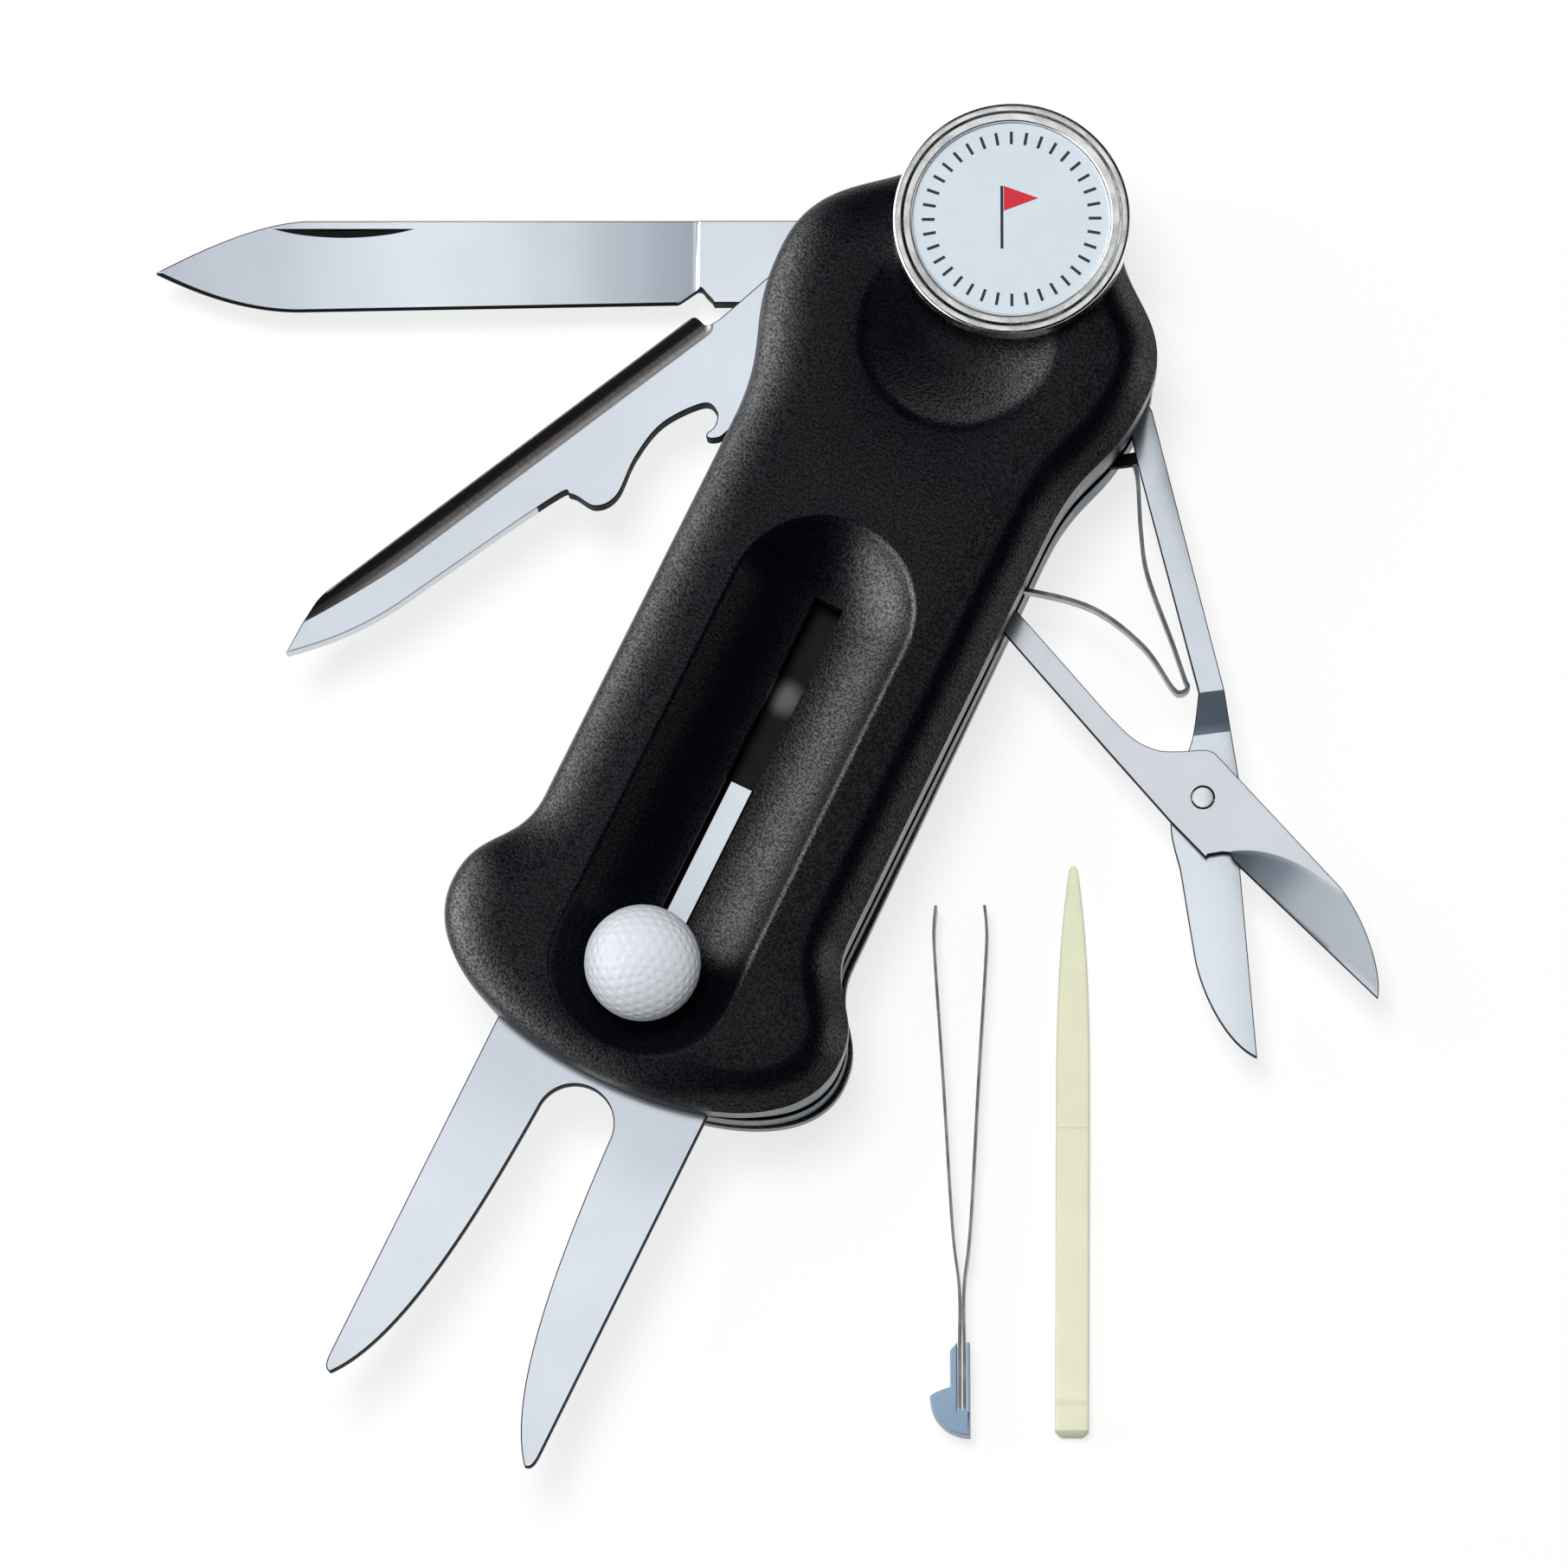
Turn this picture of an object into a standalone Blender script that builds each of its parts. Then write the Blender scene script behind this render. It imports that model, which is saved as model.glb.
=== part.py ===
"""Golf pocket tool: a sliding divot fork in a nylon handle, folding tools, a ball marker and two loose helpers.

The tool lies on its back scale with its tools half open. X runs across the handle, Y runs along it
towards the ball marker and Z is up. The origin is the middle of the back scale's flat face.
Lengths are metres and angles are degrees. Every folding tool is drawn in its folded direction, with its
pivot at the origin, and turned open by its empty.
"""

import math

import bmesh
import bpy
from mathutils import Matrix

MM = 0.001

# Clearances
FACE_GAP = 0.05 * MM
RUN_GAP = 0.05 * MM
SIDE_GAP = 0.3 * MM
CUT_MARGIN = 2.0 * MM

# Smoothness of round shapes
PIN_SIDES = 16
OUTLINE_STEPS = 6
PLATE_STEPS = 4
TURN_STEPS = 36

# Handle outline: half widths, and stations along Y
HANDLE_BOTTOM = -45.7 * MM
LOW_FLARE_HALF = 18.2 * MM
LOW_FLARE_Y = -35.8 * MM
LOW_CORNER_ROUND = 6.2 * MM
BOTTOM_ROUND = 10.5 * MM
WAIST_HALF = 14.35 * MM
WAIST_LOW_Y = -26.0 * MM
WAIST_HIGH_Y = 9.0 * MM
HIGH_FLARE_HALF = 17.45 * MM
HIGH_FLARE_Y = 26.0 * MM
SHOULDER_ROUND = 7.2 * MM
BOSS_RADIUS = 9.5 * MM
BOSS_Y = 35.2 * MM
BOSS_JOIN_ANGLE = 20.0
BOSS_JOIN_ROUND = 4.5 * MM
PLATE_INSET = 0.4 * MM
EASE = 0.5

# Layers, from the back scale up
BACK_SCALE_THICKNESS = 4.0 * MM
LINER_THICKNESS = 0.5 * MM
TOOL_THICKNESS = 2.0 * MM
FORK_THICKNESS = 1.5 * MM
FRONT_SCALE_THICKNESS = 5.6 * MM
FRONT_CROWN_WIDTH = 6.0 * MM
FRONT_CROWN_DROP = 2.8 * MM
BACK_CROWN_WIDTH = 3.2 * MM
BACK_CROWN_DROP = 2.2 * MM
CROWN_STEPS = 6

# Rivets
PIN_RADIUS = 1.25 * MM
SOCKET_DEPTH = 2.0 * MM
BLADE_PIVOT_X = -11.8 * MM
BLADE_PIVOT_Y = 28.8 * MM
SCISSORS_PIVOT_X = 10.3 * MM
SCISSORS_PIVOT_Y = 3.6 * MM
CORNER_PIN_X = 14.0 * MM
CORNER_PIN_LEFT_X = -12.6 * MM
CORNER_PIN_Y = -38.2 * MM
TOP_PIN_X = 3.5 * MM
TOP_PIN_Y = 31.0 * MM
SPRING_PIN_Y = -10.0 * MM
SPRING_PIN_RADIUS = 0.9 * MM

# Sliding fork: lengths are measured from its stem
FORK_TRAVEL = 34.0 * MM
STEM_OUT_Y = -35.9 * MM
FORK_HALF = 9.85 * MM
FORK_REACH = 41.8 * MM
FORK_SHOULDER = 3.9 * MM
FORK_CORNER = 1.0 * MM
PRONG_LENGTH = 31.2 * MM
PRONG_GAP_HALF = 3.35 * MM
PRONG_TIP = 0.7 * MM
TAIL_HALF = 1.05 * MM
TAIL_REACH = 18.3 * MM
STEM_RADIUS = 1.1 * MM
STEM_FOOT_RADIUS = 0.85 * MM
STEM_INTO_BALL = 2.4 * MM
BALL_RADIUS = 4.9 * MM
BALL_FLAT = 0.35 * MM

# Ball channel and thumb scoop of the front scale
CHANNEL_HALF = 7.9 * MM
CHANNEL_DEPTH = 3.9 * MM
SCOOP_RADIUS = 8.4 * MM
SCOOP_DEPTH = 2.4 * MM
SCOOP_Y = 24.8 * MM

# Ball marker
MARKER_RADIUS = 9.9 * MM
MARKER_OVERHANG = 0.7 * MM
MARKER_SEAT_HEIGHT = 3.0 * MM
MARKER_HEIGHT = 2.4 * MM
MARKER_LIP = 1.25 * MM
MARKER_BEVEL = 0.6 * MM
INSERT_DEPTH = 0.35 * MM
INSERT_THICKNESS = 0.9 * MM
MAGNET_RADIUS = 3.2 * MM
MAGNET_HEIGHT = 1.5 * MM
MAGNET_Y = 37.2 * MM

# Blade
TANG_RADIUS = 4.5 * MM
BLADE_OPEN = 64.45
BLADE_REACH = 61.3 * MM
BLADE_SPINE = 4.42 * MM
BLADE_BELLY = 3.57 * MM
BLADE_HEEL = 2.94 * MM
BLADE_SPINE_END = 47.7 * MM
BLADE_BELLY_END = 48.7 * MM
BLADE_PLUNGE = 14.2 * MM
CHOIL_DEPTH = 1.0 * MM
CHOIL_WIDTH = 2.2 * MM
EDGE_THICKNESS = 0.4 * MM
SPINE_RELIEF = 0.1 * MM
NICK_START = 38.7 * MM
NICK_LENGTH = 12.5 * MM
NICK_RISE = 0.85 * MM
NICK_FROM_SPINE = 0.7 * MM
NICK_DEPTH = 0.45 * MM

# Opener with groove cleaner
OPENER_OPEN = 26.6
OPENER_REACH = 60.0 * MM
OPENER_BACK = 4.37 * MM
OPENER_TIP_X = -2.2 * MM
OPENER_BACK_END = 53.9 * MM
OPENER_NOTCH = 14.1 * MM
OPENER_NECK = 2.8 * MM
LIFTER_BUMP = 30.4 * MM
LIFTER_HOOK = 19.4 * MM
LIFTER_MOUTH = 22.3 * MM
LIFTER_REACH = 5.6 * MM
GROOVE_RADIUS = 1.15 * MM
GROOVE_DEPTH = 0.6 * MM
GROOVE_RIM = 0.3 * MM

# Scissors
SCISSORS_OPEN = 74.0
SCISSORS_TANG = 3.7 * MM
SCISSORS_REACH = 47.9 * MM
RIVET_X = 2.73 * MM
RIVET_Y = -25.3 * MM
RIVET_RADIUS = 0.92 * MM
LEVER_OPEN = 41.0
LEVER_BLADE = 22.7 * MM
LEVER_ARM = 35.3 * MM
LEVER_WIDTH = 2.2 * MM
LEVER_RAMP_LOW = 5.9 * MM
LEVER_RAMP_HIGH = 9.6 * MM
LEVER_THIN_START = 22.5 * MM
LEVER_THIN_END = 28.0 * MM
SCISSORS_EDGE_THICKNESS = 0.35 * MM
HAIRPIN_THICKNESS = 0.4 * MM
HAIRPIN_HEIGHT = 1.7 * MM

# Flat springs beside the folded tools
SPRING_RIGHT = -2.4 * MM
SPRING_WALL = 1.0 * MM
SPRING_TOE_HALF = 3.4 * MM
BACKSPRING_TOE_ANGLES = (125.0, 155.0)
BACKSPRING_HALF = 2.5 * MM

# Loose helpers, lying beside the tool
TWEEZERS_TURN = 26.1
TWEEZERS_X = 34.8 * MM
TWEEZERS_Y = -47.0 * MM
LEAF_THICKNESS = 0.25 * MM
LEAF_WIDTH = 3.4 * MM
LEAF_REACH = 33.1 * MM
LEAF_ROOT = 10.2 * MM
LEAF_SPREAD = 2.25 * MM
LEAF_GAP = 0.15 * MM
TWEEZERS_HEAD_HEIGHT = 3.6 * MM
TOOTHPICK_X = 48.7 * MM
TOOTHPICK_Y = -54.2 * MM
TOOTHPICK_TURN = 25.6
TOOTHPICK_LENGTH = 49.5 * MM
TOOTHPICK_HALF = 1.45 * MM
TOOTHPICK_THICKNESS = 1.4 * MM
TOOTHPICK_HEAD = 2.2 * MM
TOOTHPICK_HEAD_LENGTH = 3.4 * MM
TOOTHPICK_STEP_Y = 26.5 * MM
TOOTHPICK_STEP = 0.25 * MM
TOOTHPICK_TIP_HALF = 0.4 * MM
TOOTHPICK_SLOT_X = -6.0 * MM
TWEEZERS_SLOT_X = 6.0 * MM
TWEEZERS_SLOT_DEPTH = 1.8 * MM

PALETTE = {
    "black_nylon": ((0.012, 0.012, 0.013), 0.55, 0.0),
    "blade_steel": ((0.62, 0.66, 0.71), 0.22, 1.0),
    "spring_steel": ((0.48, 0.51, 0.55), 0.32, 1.0),
    "chrome": ((0.8, 0.81, 0.83), 0.1, 1.0),
    "brass": ((0.72, 0.55, 0.26), 0.35, 1.0),
    "white_plastic": ((0.84, 0.84, 0.84), 0.35, 0.0),
    "marker_print": ((0.68, 0.76, 0.82), 0.25, 0.0),
    "magnet": ((0.2, 0.2, 0.21), 0.45, 1.0),
    "grey_plastic": ((0.21, 0.29, 0.38), 0.4, 0.0),
    "ivory_plastic": ((0.76, 0.78, 0.58), 0.45, 0.0),
}


def stack_levels():
    """The bottom and top height of every layer, from the back scale up."""
    layers = (
        ("back_scale", BACK_SCALE_THICKNESS),
        ("liner_back", LINER_THICKNESS),
        ("blade", TOOL_THICKNESS),
        ("liner_blade", LINER_THICKNESS),
        ("scissors", TOOL_THICKNESS),
        ("liner_scissors", LINER_THICKNESS),
        ("opener", TOOL_THICKNESS),
        ("liner_fork", LINER_THICKNESS),
        ("fork", FORK_THICKNESS),
        ("front_scale", FRONT_SCALE_THICKNESS),
    )
    levels = {}
    bottom = 0.0
    for name, thickness in layers:
        levels[name] = (bottom, bottom + thickness)
        bottom += thickness + FACE_GAP
    return levels


LEVEL = stack_levels()
OPENER_SPRING_LEFT = BLADE_PIVOT_X + LIFTER_REACH + 2 * SIDE_GAP
SPRING_PIN_X = (OPENER_SPRING_LEFT + SPRING_RIGHT) / 2
LOW_SOCKET = LEVEL["back_scale"][1] - SOCKET_DEPTH
HIGH_SOCKET = LEVEL["front_scale"][0] + SOCKET_DEPTH
SCISSORS_MID = sum(LEVEL["scissors"]) / 2
LEVER_LEVEL = (LEVEL["scissors"][0], SCISSORS_MID - FACE_GAP / 2)
FIXED_LEVEL = (SCISSORS_MID + FACE_GAP / 2, LEVEL["scissors"][1])

# Each rivet: its place, the heights of its ends, and its radius where it is not the usual one
PIN_RADII = {"spring_pin": SPRING_PIN_RADIUS}
PINS = {
    "pivot_pin": (BLADE_PIVOT_X, BLADE_PIVOT_Y, LOW_SOCKET, HIGH_SOCKET),
    "top_pin": (TOP_PIN_X, TOP_PIN_Y, LOW_SOCKET, HIGH_SOCKET),
    "corner_pin_left": (CORNER_PIN_LEFT_X, CORNER_PIN_Y, LOW_SOCKET, HIGH_SOCKET),
    "corner_pin_front": (CORNER_PIN_X, CORNER_PIN_Y, LEVEL["liner_scissors"][0], HIGH_SOCKET),
    "corner_pin_back": (CORNER_PIN_X, CORNER_PIN_Y, LOW_SOCKET, LEVEL["liner_blade"][1]),
    "scissors_pin": (SCISSORS_PIVOT_X, SCISSORS_PIVOT_Y, LEVEL["liner_back"][0], LEVEL["liner_fork"][1]),
    "spring_pin": (SPRING_PIN_X, SPRING_PIN_Y, LEVEL["liner_back"][0], LEVEL["liner_fork"][1]),
}


def clear_scene():
    """Empties the scene and makes one collection for the pieces and one for the cutters."""
    for old in list(bpy.data.objects):
        bpy.data.objects.remove(old)
    groups = []
    for name in ("golf_pocket_tool", "cutters"):
        group = bpy.data.collections.new(name)
        bpy.context.scene.collection.children.link(group)
        groups.append(group)
    return groups


PARTS, CUTTERS = clear_scene()


def make_material(name):
    """A Principled material from the palette."""
    colour, roughness, metallic = PALETTE[name]
    material = bpy.data.materials.new(name)
    material.use_nodes = True
    shader = material.node_tree.nodes["Principled BSDF"]
    shader.inputs["Base Color"].default_value = (*colour, 1.0)
    shader.inputs["Roughness"].default_value = roughness
    shader.inputs["Metallic"].default_value = metallic
    material.diffuse_color = (*colour, 1.0)
    return material


MATERIALS = {name: make_material(name) for name in PALETTE}


# Outlines: lists of (x, y) points

def arc(centre, radius, start, end, steps):
    """Points on a circle from one angle to another, both ends included."""
    points = []
    for step in range(steps + 1):
        angle = math.radians(start + (end - start) * step / steps)
        points.append((centre[0] + radius * math.cos(angle), centre[1] + radius * math.sin(angle)))
    return points


def circle(centre, radius, sides=PIN_SIDES):
    """A closed ring of points."""
    return arc(centre, radius, 0.0, 360.0, sides)[:-1]


def bezier(a, b, c, d, steps=OUTLINE_STEPS):
    """Points along a cubic curve, without its first end."""
    points = []
    for step in range(1, steps + 1):
        t = step / steps
        s = 1.0 - t
        weights = (s * s * s, 3 * s * s * t, 3 * s * t * t, t * t * t)
        points.append(tuple(sum(w * p[i] for w, p in zip(weights, (a, b, c, d))) for i in (0, 1)))
    return points


def s_curve(start, end, steps=OUTLINE_STEPS):
    """A soft step between two places, leaving and arriving along Y."""
    lead = (end[1] - start[1]) * EASE
    return bezier(start, (start[0], start[1] + lead), (end[0], end[1] - lead), end, steps)


def through(points, steps=4):
    """A smooth open curve through all the points."""
    ends = [points[0]] + list(points) + [points[-1]]
    curve = [points[0]]
    for before, start, end, after in zip(ends, ends[1:], ends[2:], ends[3:]):
        lead = tuple(start[i] + (end[i] - before[i]) / 6 for i in (0, 1))
        tail = tuple(end[i] - (after[i] - start[i]) / 6 for i in (0, 1))
        curve += bezier(start, lead, tail, end, steps)
    return curve


def mirrored(half):
    """A closed outline from its right half, which runs from one end of the middle line to the other."""
    left = [(-x, y) for x, y in reversed(half) if x > 1e-9]
    return half + left


def clipped(points, limit, side):
    """The part of a closed outline whose X is beyond the limit, on the side of the given sign."""
    kept = []
    for (x0, y0), (x1, y1) in zip(points, points[1:] + points[:1]):
        inside = (x0 - limit) * side >= 0
        if inside:
            kept.append((x0, y0))
        if inside != ((x1 - limit) * side >= 0):
            t = (limit - x0) / (x1 - x0)
            kept.append((limit, y0 + (y1 - y0) * t))
    return kept


def strip_outline(path, thickness):
    """The closed outline of a thin strip that follows a path."""
    left = []
    right = []
    for index, (x, y) in enumerate(path):
        before = path[max(index - 1, 0)]
        after = path[min(index + 1, len(path) - 1)]
        dx = after[0] - before[0]
        dy = after[1] - before[1]
        size = math.hypot(dx, dy) * 2 / thickness
        left.append((x - dy / size, y + dx / size))
        right.append((x + dy / size, y - dx / size))
    return right + left[::-1]


def handle_outline(inset, steps=OUTLINE_STEPS):
    """The handle seen from above, drawn in by an inset: a flared foot, a waist, a shoulder and a round boss."""
    foot = (0.0, HANDLE_BOTTOM + inset)
    low = (LOW_FLARE_HALF - inset, LOW_FLARE_Y)
    waist_low = (WAIST_HALF - inset, WAIST_LOW_Y)
    waist_high = (WAIST_HALF - inset, WAIST_HIGH_Y)
    high = (HIGH_FLARE_HALF - inset, HIGH_FLARE_Y)
    boss = arc((0.0, BOSS_Y), BOSS_RADIUS - inset, BOSS_JOIN_ANGLE, 90.0, steps)
    turn = math.radians(BOSS_JOIN_ANGLE)
    join = (boss[0][0] + BOSS_JOIN_ROUND * math.sin(turn), boss[0][1] - BOSS_JOIN_ROUND * math.cos(turn))
    half = [foot]
    across = low[0] / LOW_FLARE_HALF
    along = (low[1] - foot[1]) / (LOW_FLARE_Y - HANDLE_BOTTOM)
    lead = (BOTTOM_ROUND * across, foot[1])
    half += bezier(foot, lead, (low[0], low[1] - LOW_CORNER_ROUND * along), low, 2 * steps)
    half += s_curve(low, waist_low, steps)
    half += [waist_high]
    half += s_curve(waist_high, high, steps)
    half += bezier(high, (high[0], high[1] + SHOULDER_ROUND), join, boss[0], steps)
    half += boss[1:-1]
    half += [(0.0, BOSS_Y + BOSS_RADIUS - inset)]
    return mirrored(half)


# Meshes and objects

def weld(mesh):
    """Joins a mesh's loose faces and points them outwards."""
    work = bmesh.new()
    work.from_mesh(mesh)
    bmesh.ops.remove_doubles(work, verts=work.verts, dist=1e-7)
    bmesh.ops.recalc_face_normals(work, faces=work.faces)
    work.to_mesh(mesh)
    work.free()
    return mesh


def plate_mesh(name, loops, level):
    """A flat plate between two heights: the first loop is its edge and the others are holes."""
    bottom, top = level
    curve = bpy.data.curves.new(name, "CURVE")
    curve.dimensions = "2D"
    curve.fill_mode = "BOTH"
    curve.extrude = (top - bottom) / 2
    for loop in loops:
        spline = curve.splines.new("POLY")
        spline.points.add(len(loop) - 1)
        for point, (x, y) in zip(spline.points, loop):
            point.co = (x, y, 0.0, 1.0)
        spline.use_cyclic_u = True
    drawing = bpy.data.objects.new(name + "_drawing", curve)
    bpy.context.scene.collection.objects.link(drawing)
    graph = bpy.context.evaluated_depsgraph_get()
    mesh = bpy.data.meshes.new_from_object(drawing.evaluated_get(graph))
    bpy.data.objects.remove(drawing)
    bpy.data.curves.remove(curve)
    mesh.transform(Matrix.Translation((0.0, 0.0, (bottom + top) / 2)))
    return weld(mesh)


def cylinder_mesh(name, place, radius, level, sides=PIN_SIDES):
    """An upright cylinder."""
    bottom, top = level
    mesh = bpy.data.meshes.new(name)
    work = bmesh.new()
    bmesh.ops.create_cone(
        work, cap_ends=True, segments=sides, radius1=radius, radius2=radius, depth=top - bottom
    )
    work.transform(Matrix.Translation((place[0], place[1], (bottom + top) / 2)))
    work.to_mesh(mesh)
    work.free()
    return mesh


def box_mesh(name, low, high):
    """A box between two corners."""
    mesh = bpy.data.meshes.new(name)
    work = bmesh.new()
    bmesh.ops.create_cube(work, size=1.0)
    size = [b - a for a, b in zip(low, high)]
    middle = [(a + b) / 2 for a, b in zip(low, high)]
    work.transform(Matrix.Translation(middle) @ Matrix.Diagonal((*size, 1.0)))
    work.to_mesh(mesh)
    work.free()
    return mesh


def loft_mesh(name, stations):
    """A flat-bottomed bar along Y through (y, half width, height) stations."""
    verts = []
    faces = []
    for y, half, height in stations:
        verts += [(-half, y, 0.0), (half, y, 0.0), (half, y, height), (-half, y, height)]
    for start in range(0, len(verts) - 4, 4):
        for side in range(4):
            turn = (side + 1) % 4
            faces.append((start + side, start + turn, start + 4 + turn, start + 4 + side))
    last = len(verts) - 4
    faces += [(0, 3, 2, 1), (last, last + 1, last + 2, last + 3)]
    mesh = bpy.data.meshes.new(name)
    mesh.from_pydata(verts, [], faces)
    return weld(mesh)


def profile_mesh(name, profile):
    """A line of (radius, height) points, from the top down, for a turned shape."""
    mesh = bpy.data.meshes.new(name)
    edges = [(index, index + 1) for index in range(len(profile) - 1)]
    mesh.from_pydata([(radius, 0.0, height) for radius, height in profile], edges, [])
    return mesh


def spin(piece, steps=TURN_STEPS):
    """Turns a profile into a solid about its own Z axis."""
    screw = piece.modifiers.new("turned", "SCREW")
    screw.steps = steps
    screw.render_steps = steps
    screw.use_merge_vertices = True
    screw.merge_threshold = 1e-6
    return piece


def add_part(name, mesh, material, parent=None):
    """A named piece of the object with its material."""
    mesh.materials.clear()
    mesh.materials.append(MATERIALS[material])
    if mesh.polygons:
        mesh.shade_smooth()
        mesh.set_sharp_from_angle(angle=math.radians(35))
    piece = bpy.data.objects.new(name, mesh)
    piece.parent = parent
    PARTS.objects.link(piece)
    return piece


def add_cutter(name, mesh, parent=None):
    """A shape that only cuts others."""
    cutter = bpy.data.objects.new(name, mesh)
    cutter.parent = parent
    cutter.hide_render = True
    cutter.display_type = "WIRE"
    CUTTERS.objects.link(cutter)
    return cutter


def add_empty(name, place, turn=0.0, parent=None):
    """An empty on a joint's axis, which carries the pieces that move there."""
    empty = bpy.data.objects.new(name, None)
    empty.location = (*place, 0.0)
    empty.rotation_euler = (0.0, 0.0, math.radians(turn))
    empty.empty_display_size = 5 * MM
    empty.parent = parent
    PARTS.objects.link(empty)
    return empty


def combine(piece, other, operation="DIFFERENCE"):
    """Cuts one object out of a piece, or joins it on."""
    boolean = piece.modifiers.new(other.name, "BOOLEAN")
    boolean.operation = operation
    boolean.solver = "EXACT"
    boolean.object = other
    return piece


def pin_radius(name):
    """A rivet's radius."""
    return PIN_RADII.get(name, PIN_RADIUS)


def pin_holes(names):
    """Rings for the rivets that pass through a plate."""
    return [circle(PINS[name][:2], pin_radius(name) + RUN_GAP) for name in names]


def cut_sockets(piece, names):
    """Blind holes for the rivets' ends in a scale."""
    for name in names:
        x, y, bottom, top = PINS[name]
        level = (bottom - FACE_GAP, top + FACE_GAP)
        mesh = cylinder_mesh(name + "_socket", (x, y), PIN_RADIUS + RUN_GAP, level)
        combine(piece, add_cutter(piece.name + "_" + name + "_socket", mesh))


def grind_cutter(name, parent, spine_x, edge_x, near, far, level, drop, up):
    """A slanted block that takes a blade's face down from its spine to its edge."""
    width = edge_x - spine_x
    slope = math.atan2(drop - SPINE_RELIEF, abs(width))
    height = TOOL_THICKNESS
    size = (2.0 * abs(width), far - near, height)
    turn = slope if (width > 0) == up else -slope
    start = level[1] - SPINE_RELIEF if up else level[0] + SPINE_RELIEF
    rise = height / 2 if up else -height / 2
    lean = math.copysign(size[0] / 2, width)
    mesh = box_mesh(name, [-s / 2 for s in size], [s / 2 for s in size])
    place = Matrix.Translation((spine_x, (near + far) / 2, start))
    mesh.transform(place @ Matrix.Rotation(turn, 4, "Y") @ Matrix.Translation((lean * 0.9, 0.0, rise)))
    return add_cutter(name, mesh, parent)


# Handle

def crowned_mesh(name, flat, crest, width, drop):
    """A scale: a flat mating face, a straight edge and a crowned outer face that rises over a given width."""
    turn = math.copysign(1.0, crest - flat)
    rings = [(0.0, flat)]
    for step in range(CROWN_STEPS + 1):
        angle = math.radians(90.0 * step / CROWN_STEPS)
        inset = width * (1.0 - math.cos(angle))
        rings.append((inset, crest - turn * drop * (1.0 - math.sin(angle))))
    verts = []
    faces = []
    count = len(handle_outline(0.0))
    for inset, height in rings:
        verts += [(x, y, height) for x, y in handle_outline(inset)]
    for ring in range(len(rings) - 1):
        for index in range(count):
            after = (index + 1) % count
            start = ring * count
            faces.append((start + index, start + after, start + count + after, start + count + index))
    last = (len(rings) - 1) * count
    faces += [tuple(range(count)), tuple(range(last, last + count))]
    mesh = bpy.data.meshes.new(name)
    mesh.from_pydata(verts, [], faces)
    return weld(mesh)


def channel_centre():
    """The radius of the ball channel's round section, and the height of its centre."""
    radius = (CHANNEL_HALF ** 2 + CHANNEL_DEPTH ** 2) / (2 * CHANNEL_DEPTH)
    return radius, LEVEL["front_scale"][1] + radius - CHANNEL_DEPTH


def ball_height():
    """The ball's centre: just clear of the channel's floor."""
    radius, height = channel_centre()
    return height - radius + BALL_RADIUS + SIDE_GAP


def channel_cutter():
    """A long round-ended shape that leaves the ball channel."""
    radius, height = channel_centre()
    half = FORK_TRAVEL / 2
    upper = arc((0.0, half), radius, 90.0, 0.0, 10)
    lower = arc((0.0, -half), radius, 0.0, -90.0, 10)
    cutter = spin(add_cutter("ball_channel", profile_mesh("ball_channel", upper + lower)), TURN_STEPS)
    cutter.location = (0.0, STEM_OUT_Y + half, height)
    cutter.rotation_euler = (math.radians(-90), 0.0, 0.0)
    return cutter


def scoop_cutter():
    """A ball that leaves the shallow thumb scoop."""
    radius = (SCOOP_RADIUS ** 2 + SCOOP_DEPTH ** 2) / (2 * SCOOP_DEPTH)
    mesh = bpy.data.meshes.new("thumb_scoop")
    work = bmesh.new()
    bmesh.ops.create_uvsphere(work, u_segments=TURN_STEPS, v_segments=TURN_STEPS, radius=radius)
    work.to_mesh(mesh)
    work.free()
    cutter = add_cutter("thumb_scoop", mesh)
    cutter.location = (0.0, SCOOP_Y, LEVEL["front_scale"][1] + radius - SCOOP_DEPTH)
    return cutter


def build_front_scale(handle):
    """The upper grip scale: the marker's seat, the ball channel, the fork slot, the scoop and the magnet's pocket."""
    bottom, top = LEVEL["front_scale"]
    mesh = crowned_mesh("front_scale", bottom, top, FRONT_CROWN_WIDTH, FRONT_CROWN_DROP)
    scale = add_part("front_scale", mesh, "black_nylon", handle)
    seat = (top - MARKER_SEAT_HEIGHT, top)
    mesh = cylinder_mesh("marker_seat", (0.0, BOSS_Y), MARKER_RADIUS - MARKER_OVERHANG, seat, TURN_STEPS)
    combine(scale, add_cutter("marker_seat", mesh), "UNION")
    combine(scale, channel_cutter())
    slot_half = STEM_RADIUS + SIDE_GAP - FACE_GAP
    low = (-slot_half, STEM_OUT_Y - slot_half, bottom - CUT_MARGIN)
    high = (slot_half, STEM_OUT_Y + FORK_TRAVEL + slot_half, top)
    combine(scale, add_cutter("fork_slot", box_mesh("fork_slot", low, high)))
    combine(scale, scoop_cutter())
    pocket = (top - MAGNET_HEIGHT - 2 * FACE_GAP, top + CUT_MARGIN)
    mesh = cylinder_mesh("magnet_pocket", (0.0, MAGNET_Y), MAGNET_RADIUS + RUN_GAP, pocket, TURN_STEPS)
    combine(scale, add_cutter("magnet_pocket", mesh))
    cut_sockets(scale, ("pivot_pin", "top_pin", "corner_pin_left", "corner_pin_front"))


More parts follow.
